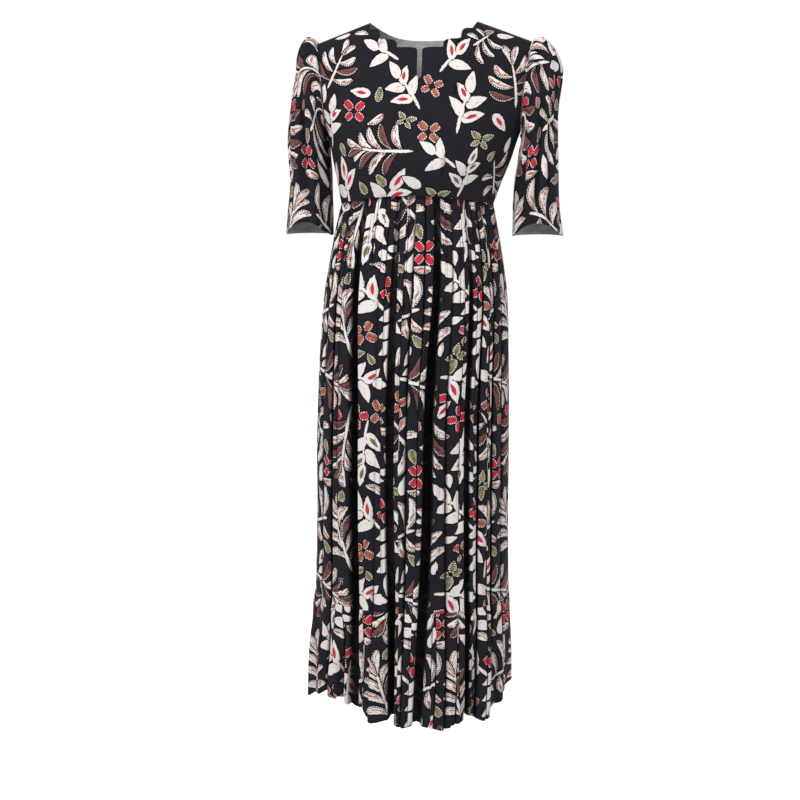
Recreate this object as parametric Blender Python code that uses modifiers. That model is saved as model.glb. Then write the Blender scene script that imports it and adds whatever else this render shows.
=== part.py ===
"""A maxi dress, as worn: empire bodice, scalloped neckline, gathered sleeves, skirt and lower tier.

Metres, +Z up. The front faces -Y and the wearer's left is +X. The origin lies midway between the
shoulders, at the height of the shoulder seams. Each piece of cloth is a lofted open surface, made from
named rings and folds, with a thin wall.
"""

import math
from collections import namedtuple

import bpy

WALL = 0.0016                 # thickness of the cloth
SEAM_GAP = 0.0003             # between two pieces at a seam
RIM_LEAN = 0.0002             # extra room where the rims at a seam lean towards each other
SEAM_BAND = 0.005             # straight strip of cloth along a seam
FRONT = -1                    # the side that a panel hangs on, as the sign of its Y
BACK = 1

# ---- driving sizes -----------------------------------------------------------------------------------
NECK_TIP_X = 0.102            # where the shoulder seam meets the neckline
NECK_TIP_Z = 0.020
SHOULDER_X = 0.204            # where the shoulder seam meets the sleeve
SHOULDER_Z = -0.017
SHOULDER_ROUND = 0.050        # height of the rounded top of the shoulders
UNDERARM_Z = -0.190
WAIST_Z = -0.318              # empire seam at the sides
WAIST_RISE = 0.017            # how far the empire seam rises to the centre of the front
TIER_Z = -1.095               # seam of the lower tier
HEM_Z = -1.325
SLIT_HALF = 0.0046            # half the open width of the neck slit at its top
SLIT_Z = -0.088               # lower end of the neck slit
SLIT_TAPER = 0.45             # how open the slit is at half its height, as a share of its top
BACK_NECK_Z = -0.006          # middle of the back neckline
BUST_X = 0.085
BUST_Z = -0.238
BUST_SPREAD = 0.052
BUST_RISE = 0.009

# ---- bodice ------------------------------------------------------------------------------------------
BodiceRing = namedtuple("BodiceRing", "z half_width front back shift")
BODICE_RINGS = (
    BodiceRing(-0.320, 0.1470, 0.104, 0.088, -0.0130),
    BodiceRing(-0.275, 0.1590, 0.120, 0.092, -0.0085),
    BodiceRing(-0.235, 0.1710, 0.126, 0.097, -0.0045),
    BodiceRing(-0.190, 0.1830, 0.119, 0.103, -0.0015),
    BodiceRing(-0.120, 0.2100, 0.100, 0.104, 0.0),
    BodiceRing(-0.050, 0.2210, 0.082, 0.094, 0.0),
    BodiceRing(0.040, 0.2250, 0.064, 0.070, 0.0),
)

Scallop = namedtuple("Scallop", "near_x far_x low_z high_z")
SCALLOPS = (
    Scallop(SLIT_HALF, 0.0430, -0.0395, -0.0310),
    Scallop(0.0430, 0.0755, -0.0310, -0.0160),
    Scallop(0.0755, 0.0950, -0.0160, 0.0040),
)
SCALLOP_SQUARENESS = 3.2

ArmholePoint = namedtuple("ArmholePoint", "z front_x back_x")
ARMHOLE = (
    ArmholePoint(SHOULDER_Z, SHOULDER_X, SHOULDER_X),
    ArmholePoint(-0.055, 0.1950, 0.1990),
    ArmholePoint(-0.100, 0.1890, 0.1945),
    ArmholePoint(-0.145, 0.1860, 0.1895),
    ArmholePoint(-0.175, 0.1845, 0.1855),
)

# A column starts at a share of the quarter waist and ends at a turn and height on the top edge. Its rows
# crowd towards the top, and its sideways run bends late.
BodiceColumn = namedtuple("BodiceColumn", "share turn z crowding bend")
SHOULDER_SHARE = 0.53         # share of the quarter waist below the neckline and the shoulder seam
SHOULDER_STEPS = 4
ARMHOLE_STEPS = 8
TOP_CROWDING = 1.8            # how closely rows crowd towards the shoulder seam
LATE_BEND = 3.0               # how late the columns below the shoulder seam run sideways
CROWDING_EASE = 0.30          # how much each column down the armhole crowds less than the last
BEND_EASE = 0.33              # how much each column down the armhole bends less late than the last
ARMHOLE_SPREAD = 1.6          # how closely the columns of the armhole start by the shoulder's share
ARMHOLE_ROUND = 0.5           # how round the armhole runs into the side seam
BODICE_ROWS = (0.0, 0.075, 0.17, 0.28, 0.41, 0.55, 0.69, 0.83, 0.945, 1.0)

# ---- sleeves -----------------------------------------------------------------------------------------
SleeveRing = namedtuple("SleeveRing", "along outer_x outer_z inner_x inner_z front_y back_y front_lift")
SLEEVE_RINGS = (
    SleeveRing(0.00, 0.2040, -0.0170, 0.1840, -0.190, -0.046, 0.044, 0.000),
    SleeveRing(0.06, 0.2160, -0.0160, 0.1850, -0.194, -0.052, 0.050, 0.000),
    SleeveRing(0.13, 0.2330, -0.0260, 0.1850, -0.199, -0.058, 0.056, 0.000),
    SleeveRing(0.22, 0.2480, -0.0500, 0.1840, -0.208, -0.063, 0.061, 0.000),
    SleeveRing(0.34, 0.2540, -0.0920, 0.1825, -0.222, -0.066, 0.064, 0.000),
    SleeveRing(0.50, 0.2560, -0.1600, 0.1800, -0.246, -0.067, 0.064, 0.000),
    SleeveRing(0.68, 0.2610, -0.2400, 0.1770, -0.280, -0.066, 0.062, 0.004),
    SleeveRing(0.85, 0.2640, -0.3150, 0.1740, -0.330, -0.065, 0.060, 0.013),
    SleeveRing(1.00, 0.2670, -0.3790, 0.1730, -0.380, -0.064, 0.060, 0.027),
)
HEAD_PUFF = {1: 0.002, -1: 0.008}    # how far each sleeve's head stands up above its seam, by hand
HEAD_PUFF_AT = 0.09                  # how far down the sleeve the head stands highest, and its spread
HEAD_PUFF_SPREAD = 0.06
HEM_AWAY = {1: 0.0, -1: 0.008}       # how far each sleeve's inner side hangs away from the skirt
SLEEVE_ROWS = (0.0, 0.03, 0.08, 0.15, 0.25, 0.40, 0.58, 0.78, 1.0)
SLEEVE_JOIN = 0.30            # how far down the sleeve its armhole's own shape reaches
SEAM_LIFT = 0.65              # how much more up than out the sleeve is set from the bodice on the shoulder
SEAM_OUT = 0.8                # how far it is set forwards and back at the sides of the armhole
HEAD_COLUMNS = 22             # columns over the gathered head of a sleeve
UNDER_COLUMNS = 14
HEAD_HALF_TURN = math.radians(82)
HEAD_GATHERS = 6
HEAD_GATHER_DEPTH = 0.0032
HEAD_GATHER_START = 0.03      # shares of the sleeve's length over which the gathers rise and fade
HEAD_GATHER_FADE = 0.22
HEAD_GATHER_EDGE = math.radians(20)
FOLD_RISE = 0.18              # shares of the sleeve's length over which a fold rises and ends
FOLD_FALL = 0.15
FOLD_REST = 0.35              # share of a fold's depth that is left where it ends
HEAD_SLOPE = 0.2              # share of the length over which the head turns from level to hanging
SHOULDER_LEAN = 0.3           # how far outwards the gathers lean on top of the head

SleeveFold = namedtuple("SleeveFold", "turn_top turn_hem width depth start end")
SLEEVE_FOLDS = (
    SleeveFold(62, 84, 26, 0.0085, 0.16, 1.00),
    SleeveFold(24, 20, 18, 0.0050, 0.12, 0.80),
    SleeveFold(-36, -40, 22, 0.0060, 0.14, 0.95),
    SleeveFold(-88, -104, 24, 0.0065, 0.20, 1.00),
    SleeveFold(118, 128, 20, 0.0045, 0.40, 1.00),
)

# ---- skirt and lower tier ----------------------------------------------------------------------------
SkirtRing = namedtuple("SkirtRing", "z half_width front back shift")
SKIRT_RINGS = (
    SkirtRing(-0.300, 0.1470, 0.104, 0.088, -0.0130),
    SkirtRing(-0.320, 0.1470, 0.104, 0.088, -0.0130),
    SkirtRing(-0.407, 0.1650, 0.123, 0.112, -0.0140),
    SkirtRing(-0.506, 0.1800, 0.139, 0.134, -0.0160),
    SkirtRing(-0.706, 0.1900, 0.153, 0.148, -0.0200),
    SkirtRing(-0.912, 0.1930, 0.160, 0.156, -0.0210),
    SkirtRing(-1.095, 0.1970, 0.166, 0.162, -0.0215),
    SkirtRing(-1.232, 0.2060, 0.178, 0.173, -0.0240),
    SkirtRing(-1.325, 0.2070, 0.184, 0.180, -0.0260),
)
SKIRT_ROWS = (0.0, 0.0075, 0.045, 0.11, 0.24, 0.46, 0.72, 0.993, 1.0)
TIER_ROWS = (0.0, 0.022, 0.15, 0.50, 1.0)
SKIRT_COLUMNS = {FRONT: 92, BACK: 78}
TIER_COLUMNS = {FRONT: 92, BACK: 80}

# A fold is a hanging valley. Its place is a share of the half width, from the centre outwards; its width
# is half the valley, in metres; its depths are at the empire seam, at mid skirt and at the hem.
Fold = namedtuple("Fold", "top middle hem width at_seam at_middle at_hem")
FRONT_FOLDS = (
    Fold(-0.900, -0.905, -0.900, 0.014, 0.002, 0.008, 0.009),
    Fold(-0.780, -0.800, -0.790, 0.013, 0.003, 0.009, 0.010),
    Fold(-0.640, -0.566, -0.560, 0.021, 0.005, 0.022, 0.016),
    Fold(-0.330, -0.150, -0.190, 0.014, 0.002, 0.007, 0.009),
    Fold(-0.200, -0.050, -0.085, 0.024, 0.004, 0.013, 0.026),
    Fold(0.060, 0.100, 0.120, 0.013, 0.003, 0.007, 0.008),
    Fold(0.280, 0.228, 0.240, 0.020, 0.005, 0.021, 0.014),
    Fold(0.500, 0.480, 0.440, 0.012, 0.003, 0.004, 0.010),
    Fold(0.680, 0.725, 0.690, 0.017, 0.003, 0.014, 0.018),
    Fold(0.820, 0.835, 0.850, 0.013, 0.003, 0.009, 0.009),
    Fold(0.920, 0.925, 0.930, 0.012, 0.002, 0.007, 0.007),
)
BACK_FOLDS = (
    Fold(-0.880, -0.890, -0.900, 0.014, 0.002, 0.009, 0.010),
    Fold(-0.720, -0.740, -0.730, 0.017, 0.004, 0.014, 0.013),
    Fold(-0.520, -0.500, -0.540, 0.016, 0.003, 0.011, 0.012),
    Fold(-0.280, -0.300, -0.270, 0.021, 0.004, 0.018, 0.018),
    Fold(-0.070, -0.060, -0.040, 0.015, 0.003, 0.010, 0.011),
    Fold(0.150, 0.190, 0.180, 0.020, 0.004, 0.017, 0.016),
    Fold(0.400, 0.380, 0.400, 0.015, 0.003, 0.009, 0.010),
    Fold(0.580, 0.610, 0.600, 0.018, 0.003, 0.015, 0.015),
    Fold(0.780, 0.790, 0.800, 0.015, 0.003, 0.011, 0.012),
    Fold(0.910, 0.915, 0.920, 0.012, 0.002, 0.007, 0.008),
)

# Small gathers: how many cross the panel, their depth just below the seam and how far down they fade.
Gathers = namedtuple("Gathers", "count depth fade drift")
SKIRT_GATHERS = {FRONT: Gathers(24, 0.0030, 0.085, 0.35), BACK: Gathers(20, 0.0030, 0.085, 0.60)}
TIER_GATHERS = {FRONT: Gathers(24, 0.0032, 0.070, 0.50), BACK: Gathers(21, 0.0032, 0.070, 0.25)}
# The tier's own waves grow towards its hem.
TIER_WAVES = {FRONT: Gathers(13, 0.0095, 0.150, 0.30), BACK: Gathers(11, 0.0095, 0.150, 0.70)}
HEM_DIP = 0.006               # how far the hem rises and falls with the tier's waves
HEM_SWAY = 0.6                # share of the dip that runs as one slow wave over the panel
HEM_SWAY_TURN = 7.0
HEM_SIDE_CALM = 6             # how close to the side seams the dip fades out
HemLevel = namedtuple("HemLevel", "share front back")
HEM_LEVELS = (                # how far the hem hangs above its lowest level, across each panel
    HemLevel(-1.0, 0.010, 0.010),
    HemLevel(-0.7, 0.026, 0.012),
    HemLevel(-0.3, 0.024, 0.008),
    HemLevel(0.10, -0.002, 0.006),
    HemLevel(0.50, 0.000, 0.010),
    HemLevel(0.80, 0.024, 0.020),
    HemLevel(1.0, 0.040, 0.040),
)
SIDE_CALM = 0.13              # share of a panel, along each side seam, over which folds fade out
FOLD_SHIFT = 0.45             # share of the skirt's length over which a fold finds its middle place
FOLD_GROW = 0.35              # share over which it grows to its middle depth
FOLD_WIDEN = 0.35             # how much wider a fold is at the hem than its own width
GATHER_RISE = 0.02            # length over which gathers rise below a seam
GATHER_AT_SEAM = 0.35         # share of their depth that gathers have right at the empire seam
GATHER_TURN = 9.0             # how fast the gathers' widths change along a panel

# ---- materials ---------------------------------------------------------------------------------------
CREPE_COLOR = (0.022, 0.022, 0.028, 1.0)
CREPE_ROUGHNESS = 0.78


# ---- reading tables ----------------------------------------------------------------------------------
def read_rows(rows, at):
    """The row of a table at the value `at` of its first column, on smooth curves through its rows."""
    keys = [row[0] for row in rows]
    direction = 1 if keys[-1] > keys[0] else -1
    at = max(min(at, max(keys)), min(keys))
    index = 0
    while index < len(rows) - 2 and direction * (at - keys[index + 1]) > 0:
        index += 1
    before = rows[max(index - 1, 0)]
    start = rows[index]
    end = rows[index + 1]
    after = rows[min(index + 2, len(rows) - 1)]
    span = end[0] - start[0]
    t = (at - start[0]) / span
    values = [at]
    for column in range(1, len(start)):
        slope_in = (end[column] - before[column]) / (end[0] - before[0]) * span
        slope_out = (after[column] - start[column]) / (after[0] - start[0]) * span
        values.append((2 * t ** 3 - 3 * t ** 2 + 1) * start[column]
                      + (t ** 3 - 2 * t ** 2 + t) * slope_in
                      + (3 * t ** 2 - 2 * t ** 3) * end[column]
                      + (t ** 3 - t ** 2) * slope_out)
    return type(start)(*values)


def smooth_step(t):
    t = max(0.0, min(1.0, t))
    return t * t * (3 - 2 * t)


# ---- bodice ------------------------------------------------------------------------------------------
def seam_height(side, turn):
    """Height of the empire seam, which the bust lifts in the middle of the front."""
    lift = WAIST_RISE if side == FRONT else 0.002
    return WAIST_Z + lift * math.cos(turn) ** 2


def shoulder_height(x):
    slope = (SHOULDER_Z - NECK_TIP_Z) / (SHOULDER_X - NECK_TIP_X)
    return NECK_TIP_Z + slope * (abs(x) - NECK_TIP_X)


def bodice_point(side, turn, z):
    """A point of the bodice: `turn` runs from 0 at the centre to a quarter turn at the side seam."""
    ring = read_rows(BODICE_RINGS, z)
    x = ring.half_width * math.sin(turn)
    drop = max(0.0, shoulder_height(x) - z) / SHOULDER_ROUND
    crown = math.sqrt(1 - (1 - min(drop, 1)) ** 2)
    reach = (ring.front if side == FRONT else ring.back) * math.cos(turn) * crown
    if side == FRONT:
        off_x = (abs(x) - BUST_X) / BUST_SPREAD
        off_z = (z - BUST_Z) / BUST_SPREAD
        reach += BUST_RISE * math.exp(-off_x ** 2 - off_z ** 2)
    return (x + ring.shift, side * (reach + SEAM_GAP / 2 + RIM_LEAN), z)


def turn_at(x, z):
    return math.asin(min(1.0, x / read_rows(BODICE_RINGS, z).half_width))


def scallop_edge(scallop, steps):
    """Points of one scallop, outwards from the slit's side: a steep rise that rounds to a flat top."""
    points = []
    for step in range(steps):
        angle = math.pi / 2 * step / steps
        across = 1 - math.cos(angle) ** (2 / SCALLOP_SQUARENESS)
        up = math.sin(angle) ** (2 / SCALLOP_SQUARENESS)
        points.append((scallop.near_x + (scallop.far_x - scallop.near_x) * across,
                       scallop.low_z + (scallop.high_z - scallop.low_z) * up))
    return points


def front_neckline():
    """(x, z) from the lower end of the slit to the tip of the shoulder seam."""
    points = [(0.0, SLIT_Z), (SLIT_HALF * SLIT_TAPER, (SLIT_Z + SCALLOPS[0].low_z) / 2)]
    for scallop in SCALLOPS:
        points += scallop_edge(scallop, 3)
    start_x, start_z = SCALLOPS[-1].far_x, SCALLOPS[-1].high_z
    for share in (0.0, 0.55):
        points.append((start_x + (NECK_TIP_X - start_x) * share, start_z + (NECK_TIP_Z - start_z) * share))
    return points


def back_neckline():
    """(x, z) from the middle of the back to the tip of the shoulder seam."""
    steps = 7
    points = []
    for step in range(steps):
        share = step / steps
        points.append((NECK_TIP_X * share, BACK_NECK_Z + (NECK_TIP_Z - BACK_NECK_Z) * share ** 3))
    return points


def armhole_x(side, z):
    if z < ARMHOLE[-1].z:
        ring = read_rows(BODICE_RINGS, z)
        low = read_rows(ARMHOLE, ARMHOLE[-1].z)
        edge = low.front_x if side == FRONT else low.back_x
        share = (ARMHOLE[-1].z - z) / (ARMHOLE[-1].z - UNDERARM_Z)
        return edge + (ring.half_width - edge) * share ** ARMHOLE_ROUND
    row = read_rows(ARMHOLE, z)
    return row.front_x if side == FRONT else row.back_x


def armhole_z(share):
    """Height on the armhole at a share of the way from the shoulder seam to the underarm."""
    return UNDERARM_Z + (SHOULDER_Z - UNDERARM_Z) * (0.5 + 0.5 * math.cos(math.pi * share))


def armhole_edge(side, steps):
    """(turn, z) round half an armhole, from the tip of the shoulder seam down to the underarm."""
    points = []
    for step in range(steps + 1):
        share = step / steps
        z = armhole_z(share)
        turn = math.pi / 2 if step == steps else turn_at(armhole_x(side, z), z)
        points.append((turn, z))
    return points


def bodice_columns(side):
    """Where the columns of half a bodice start and end, from the centre to the side seam."""
    neck = front_neckline() if side == FRONT else back_neckline()
    armhole = armhole_edge(side, ARMHOLE_STEPS)
    neck_share = turn_at(NECK_TIP_X, NECK_TIP_Z) / (math.pi / 2)
    columns = []
    for index, (x, z) in enumerate(neck):
        turn = turn_at(x, z)
        crowding = 1 + (TOP_CROWDING - 1) * index / len(neck)
        columns.append(BodiceColumn(turn / (math.pi / 2), turn, z, crowding, 1.0))
    for step in range(SHOULDER_STEPS):
        x = NECK_TIP_X + (SHOULDER_X - NECK_TIP_X) * step / SHOULDER_STEPS
        share = neck_share + (SHOULDER_SHARE - neck_share) * step / SHOULDER_STEPS
        z = shoulder_height(x)
        columns.append(BodiceColumn(share, turn_at(x, z), z, TOP_CROWDING, LATE_BEND))
    for index, (turn, z) in enumerate(armhole):
        share = SHOULDER_SHARE + (1 - SHOULDER_SHARE) * (index / ARMHOLE_STEPS) ** ARMHOLE_SPREAD
        crowding = max(1.0, TOP_CROWDING - CROWDING_EASE * index)
        bend = max(1.0, LATE_BEND - BEND_EASE * index)
        columns.append(BodiceColumn(share, turn, z, crowding, bend))
    return columns


def bodice_panel(side):
    """Columns of points of a whole bodice panel, from the empire seam up."""
    half = bodice_columns(side)
    mirrored = [column._replace(share=-column.share, turn=-column.turn) for column in reversed(half[1:])]
    panel = []
    for edge in mirrored + half:
        turn_low = math.pi / 2 * edge.share
        z_seam = seam_height(side, turn_low) + SEAM_GAP / 2
        foot = bodice_point(side, turn_low, z_seam)
        column = [foot]
        z_low = z_seam + SEAM_BAND
        for fraction in BODICE_ROWS:
            rise = 1 - (1 - fraction) ** edge.crowding
            turn = turn_low + (edge.turn - turn_low) * fraction ** edge.bend
            z = z_low + (edge.z - z_low) * rise
            column.append(bodice_point(side, turn, z) if fraction > 0 else (foot[0], foot[1], z_low))
        panel.append(column)
    return panel


# ---- sleeves -----------------------------------------------------------------------------------------
def armhole_loop_point(hand, turn):
    """A point of the armhole: `turn` is 0 at the shoulder, a quarter in front, a half at the underarm."""
    side = FRONT if turn >= 0 else BACK
    share = abs(turn) / math.pi
    z = armhole_z(share)
    edge = math.pi / 2 if share > 0.9999 else turn_at(armhole_x(side, z), z)
    x, y, z = bodice_point(side, hand * edge, z)
    return (hand * x, y, z)


def ring_point(ring, turn):
    """A point of a closed ring through its outer, front, inner and back points."""
    middle_x = (ring.outer_x + ring.inner_x) / 2
    middle_z = (ring.outer_z + ring.inner_z) / 2
    half_x = (ring.outer_x - ring.inner_x) / 2
    half_z = (ring.outer_z - ring.inner_z) / 2
    half_y = (ring.front_y - ring.back_y) / 2
    middle_y = (ring.front_y + ring.back_y) / 2
    front_share = max(0.0, math.sin(turn)) ** 2
    return (middle_x + half_x * math.cos(turn),
            middle_y * math.sin(turn) ** 2 + half_y * math.sin(turn),
            middle_z + half_z * math.cos(turn) + ring.front_lift * front_share)


def sleeve_folds(along, turn):
    """How far the sleeve's hanging folds pull its wall in."""
    degrees = math.degrees(turn)
    depth = 0.0
    for fold in SLEEVE_FOLDS:
        centre = fold.turn_top + (fold.turn_hem - fold.turn_top) * along
        off = abs((degrees - centre + 180) % 360 - 180) / fold.width
        if off < 1:
            run = min(1.0, max(0.0, (along - fold.start) / FOLD_RISE))
            run *= min(1.0, max(FOLD_REST, (fold.end - along) / FOLD_FALL))
            depth += fold.depth * (1 - smooth_step(off)) * run
    return depth


def head_gathers(along, turn):
    """How far the gathers at the sleeve's head push its wall out."""
    if abs(turn) > HEAD_HALF_TURN:
        return 0.0
    edge = smooth_step((HEAD_HALF_TURN - abs(turn)) / HEAD_GATHER_EDGE)
    wave = 0.5 + 0.5 * math.cos(turn / HEAD_HALF_TURN * math.pi * HEAD_GATHERS)
    rise = smooth_step(along / HEAD_GATHER_START)
    return HEAD_GATHER_DEPTH * edge * wave * rise * math.exp(-(along / HEAD_GATHER_FADE) ** 2)


def sleeve_turns():
    """Turns round the sleeve, closer together over the gathered head."""
    turns = []
    for step in range(HEAD_COLUMNS):
        turns.append(-HEAD_HALF_TURN + 2 * HEAD_HALF_TURN * step / HEAD_COLUMNS)
    for step in range(UNDER_COLUMNS):
        turns.append(HEAD_HALF_TURN + 2 * (math.pi - HEAD_HALF_TURN) * step / UNDER_COLUMNS)
    return [turn - 2 * math.pi if turn > math.pi + 1e-9 else turn for turn in turns]


def sleeve_point(hand, along, turn):
    """A point of a sleeve, mirrored to the wearer's left, before it is set out from the bodice."""
    ring = read_rows(SLEEVE_RINGS, along)
    x, y, z = ring_point(ring, turn)
    keep = max(0.0, 1 - along / SLEEVE_JOIN) ** 2
    if keep > 0:
        seat = armhole_loop_point(hand, turn)
        first = ring_point(SLEEVE_RINGS[0], turn)
        x, y, z = (value + (a - b) * keep for value, a, b in zip((x, y, z), seat, first))
    x += HEM_AWAY[hand] * max(0.0, -math.cos(turn)) * along ** 2
    puff = math.exp(-((along - HEAD_PUFF_AT) / HEAD_PUFF_SPREAD) ** 2)
    z += HEAD_PUFF[hand] * max(0.0, math.cos(turn)) * puff
    out = head_gathers(along, turn) - sleeve_folds(along, turn)
    slope = smooth_step(along / HEAD_SLOPE)
    away_x = math.cos(turn) * (slope + SHOULDER_LEAN * (1 - slope))
    away_y = -math.sin(turn)
    away_z = max(0.0, math.cos(turn)) * (1 - slope)
    length = math.sqrt(away_x ** 2 + away_y ** 2 + away_z ** 2) or 1.0
    return (x + out * away_x / length, y + out * away_y / length, z + out * away_z / length)


def armhole_outward(turn):
    """Direction that lifts the sleeve's edge clear of the bodice: up on the shoulder, out below it."""
    up = max(0.0, math.cos(turn / 2)) ** 2
    away = (1 - SEAM_LIFT * up, -SEAM_OUT * math.sin(turn), up)
    length = math.sqrt(sum(value ** 2 for value in away))
    return [value / length for value in away]


def sleeve_panel(hand):
    """Columns of points round a sleeve, each from the armhole to the hem."""
    clearance = WALL + 3 * SEAM_GAP
    columns = []
    for turn in sleeve_turns():
        away = armhole_outward(turn)
        column = []
        for along in SLEEVE_ROWS:
            x, y, z = sleeve_point(hand, along, turn)
            lift = clearance * max(0.0, 1 - along / SLEEVE_JOIN)
            column.append((hand * (x + away[0] * lift), y + away[1] * lift, z + away[2] * lift))
        columns.append(column)
    return columns


# ---- skirt -------------------------------------------------------------------------------------------
def fold_place(fold, down):
    """Place of a fold as a share of the half width, at a share `down` of the whole skirt."""
    if down < 0.5:
        return fold.top + (fold.middle - fold.top) * smooth_step(down / FOLD_SHIFT)
    return fold.middle + (fold.hem - fold.middle) * smooth_step((down - 0.5) / 0.5)


def fold_depth(fold, down):
    if down < 0.5:
        return fold.at_seam + (fold.at_middle - fold.at_seam) * smooth_step(down / FOLD_GROW)
    return fold.at_middle + (fold.at_hem - fold.at_middle) * smooth_step((down - 0.5) / 0.5)


def ripple(gathers, share):
    """A row of rounded gathers of uneven width, between 0 and 1, at a share of the panel."""
    phase = share * gathers.count + gathers.drift * math.sin(share * GATHER_TURN + gathers.count)
    return 0.5 - 0.5 * math.cos(2 * math.pi * phase)


def skirt_point(side, share, z):
    """A point of the skirt or tier. `share` is -1 to 1 across the panel, from side seam to side seam."""
    ring = read_rows(SKIRT_RINGS, z)
    reach = ring.front if side == FRONT else ring.back
    turn = math.pi / 2 * share
    x = ring.half_width * math.sin(turn)
    y = reach * math.cos(turn)
    out_x = math.sin(turn) / ring.half_width
    out_y = math.cos(turn) / reach
    length = math.hypot(out_x, out_y)
    out_x /= length
    out_y /= length
    radius = math.hypot(ring.half_width * math.cos(turn), reach * math.sin(turn))
    down = (WAIST_Z - z) / (WAIST_Z - HEM_Z)
    calm = smooth_step((1 - abs(share)) / SIDE_CALM)
    out = 0.0
    for fold in FRONT_FOLDS if side == FRONT else BACK_FOLDS:
        centre = math.asin(fold_place(fold, down))
        off = abs(turn - centre) * radius / (fold.width * (1 + FOLD_WIDEN * down))
        if off < 1:
            out -= fold_depth(fold, down) * (1 - smooth_step(off))
    panel_share = (share + 1) / 2
    below_waist = max(0.0, WAIST_Z - z)
    gathers = SKIRT_GATHERS[side]
    rise = GATHER_AT_SEAM + (1 - GATHER_AT_SEAM) * smooth_step(below_waist / GATHER_RISE)
    fade = math.exp(-(below_waist / gathers.fade) ** 2)
    out += gathers.depth * ripple(gathers, panel_share) * rise * fade
    below_tier = TIER_Z - z
    if below_tier > 0:
        gathers = TIER_GATHERS[side]
        fade = math.exp(-(below_tier / gathers.fade) ** 2) * smooth_step(below_tier / GATHER_RISE)
        out += gathers.depth * ripple(gathers, panel_share) * fade
        waves = TIER_WAVES[side]
        grow = smooth_step(below_tier / waves.fade)
        out += waves.depth * (ripple(waves, panel_share) - 0.5) * grow
    out *= calm
    return (ring.shift + x + out * out_x, side * (y + SEAM_GAP / 2 + out * out_y), z)


def hem_height(side, share):
    waves = TIER_WAVES[side]
    wave = ripple(waves, (share + 1) / 2) - 0.5
    level = read_rows(HEM_LEVELS, share)
    lift = level.front if side == FRONT else level.back
    sway = HEM_SWAY * math.sin(share * HEM_SWAY_TURN + side)
    return HEM_Z + lift + HEM_DIP * (sway - wave) * (1 - abs(share) ** HEM_SIDE_CALM)


def skirt_panel(side):
    """Columns of points of a skirt panel, from the empire seam down to the tier seam."""
    columns = []
    for step in range(SKIRT_COLUMNS[side] + 1):
        share = -1 + 2 * step / SKIRT_COLUMNS[side]
        z_seam = seam_height(side, math.pi / 2 * share) - SEAM_GAP / 2
        z_low = TIER_Z + SEAM_GAP / 2
        head = skirt_point(side, share, z_seam)
        foot = skirt_point(side, share, z_low)
        column = []
        for fraction in SKIRT_ROWS:
            z = z_seam + (z_low - z_seam) * fraction
            if fraction == SKIRT_ROWS[1]:
                column.append((head[0], head[1], z))
            elif fraction == SKIRT_ROWS[-2]:
                column.append((foot[0], foot[1], z))
            else:
                column.append(skirt_point(side, share, z))
        columns.append(column)
    return columns


def tier_panel(side):
    """Columns of points of a panel of the lower tier, from its seam down to the hem."""
    columns = []
    for step in range(TIER_COLUMNS[side] + 1):
        share = -1 + 2 * step / TIER_COLUMNS[side]
        z_seam = TIER_Z - SEAM_GAP / 2
        z_hem = hem_height(side, share)
        head = skirt_point(side, share, z_seam)
        column = []
        for fraction in TIER_ROWS:
            z = z_seam + (z_hem - z_seam) * fraction
            if fraction == TIER_ROWS[1]:
                column.append((head[0], head[1], z))
            else:
                column.append(skirt_point(side, share, z))
        columns.append(column)
    return columns


# ---- making objects ----------------------------------------------------------------------------------
def crepe_material(name):
    material = bpy.data.materials.new(name)
    material.use_nodes = True
    shader = material.node_tree.nodes["Principled BSDF"]
    shader.inputs["Base Color"].default_value = CREPE_COLOR
    shader.inputs["Roughness"].default_value = CREPE_ROUGHNESS
    shader.inputs["Metallic"].default_value = 0.0
    material.diffuse_color = CREPE_COLOR
    return material


def cloth_piece(name, columns, closed, flip, collection):
    """A piece of cloth: a grid of faces through the columns' points, given its wall by Solidify."""
    row_count = len(columns[0])
    points = [point for column in columns for point in column]
    faces = []
    for column in range(len(columns) if closed else len(columns) - 1):
        start = column * row_count
        end = (column + 1) % len(columns) * row_count
        for row in range(row_count - 1):
            face = (start + row, end + row, end + row + 1, start + row + 1)
            faces.append(tuple(reversed(face)) if flip else face)
    mesh = bpy.data.meshes.new(name)
    mesh.from_pydata(points, [], faces)
    mesh.validate()
    mesh.shade_smooth()
    mesh.materials.append(crepe_material(name + "_crepe"))
    piece = bpy.data.objects.new(name, mesh)
    collection.objects.link(piece)
    wall = piece.modifiers.new("wall", "SOLIDIFY")
    wall.thickness = WALL
    wall.offset = 0.0
    wall.use_even_offset = False
    return piece


def build_dress():
    for old in list(bpy.data.objects):
        bpy.data.objects.remove(old, do_unlink=True)
    collection = bpy.data.collections.new("maxi_dress")
    bpy.context.scene.collection.children.link(collection)
    cloth_piece("bodice_front", bodice_panel(FRONT), False, False, collection)
    cloth_piece("bodice_back", bodice_panel(BACK), False, True, collection)
    cloth_piece("sleeve_left", sleeve_panel(1), True, False, collection)
    cloth_piece("sleeve_right", sleeve_panel(-1), True, True, collection)
    cloth_piece("skirt_front", skirt_panel(FRONT), False, True, collection)
    cloth_piece("skirt_back", skirt_panel(BACK), False, False, collection)
    cloth_piece("hem_tier_front", tier_panel(FRONT), False, True, collection)
    cloth_piece("hem_tier_back", tier_panel(BACK), False, False, collection)


build_dress()
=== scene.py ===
"""The looks of a worn maxi dress: printed crepe with pleats, gathers, hems and stitching.

Metres, +Z up. The front faces -Y and the wearer's left is +X. Every piece of cloth repeats the form of
the solid that it replaces, from the same named rings and folds, with finer pleats and a print that is
laid out on the flat cloth.
"""

import math
import random
from collections import namedtuple

import bpy
import numpy as np
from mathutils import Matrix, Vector, noise


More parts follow.
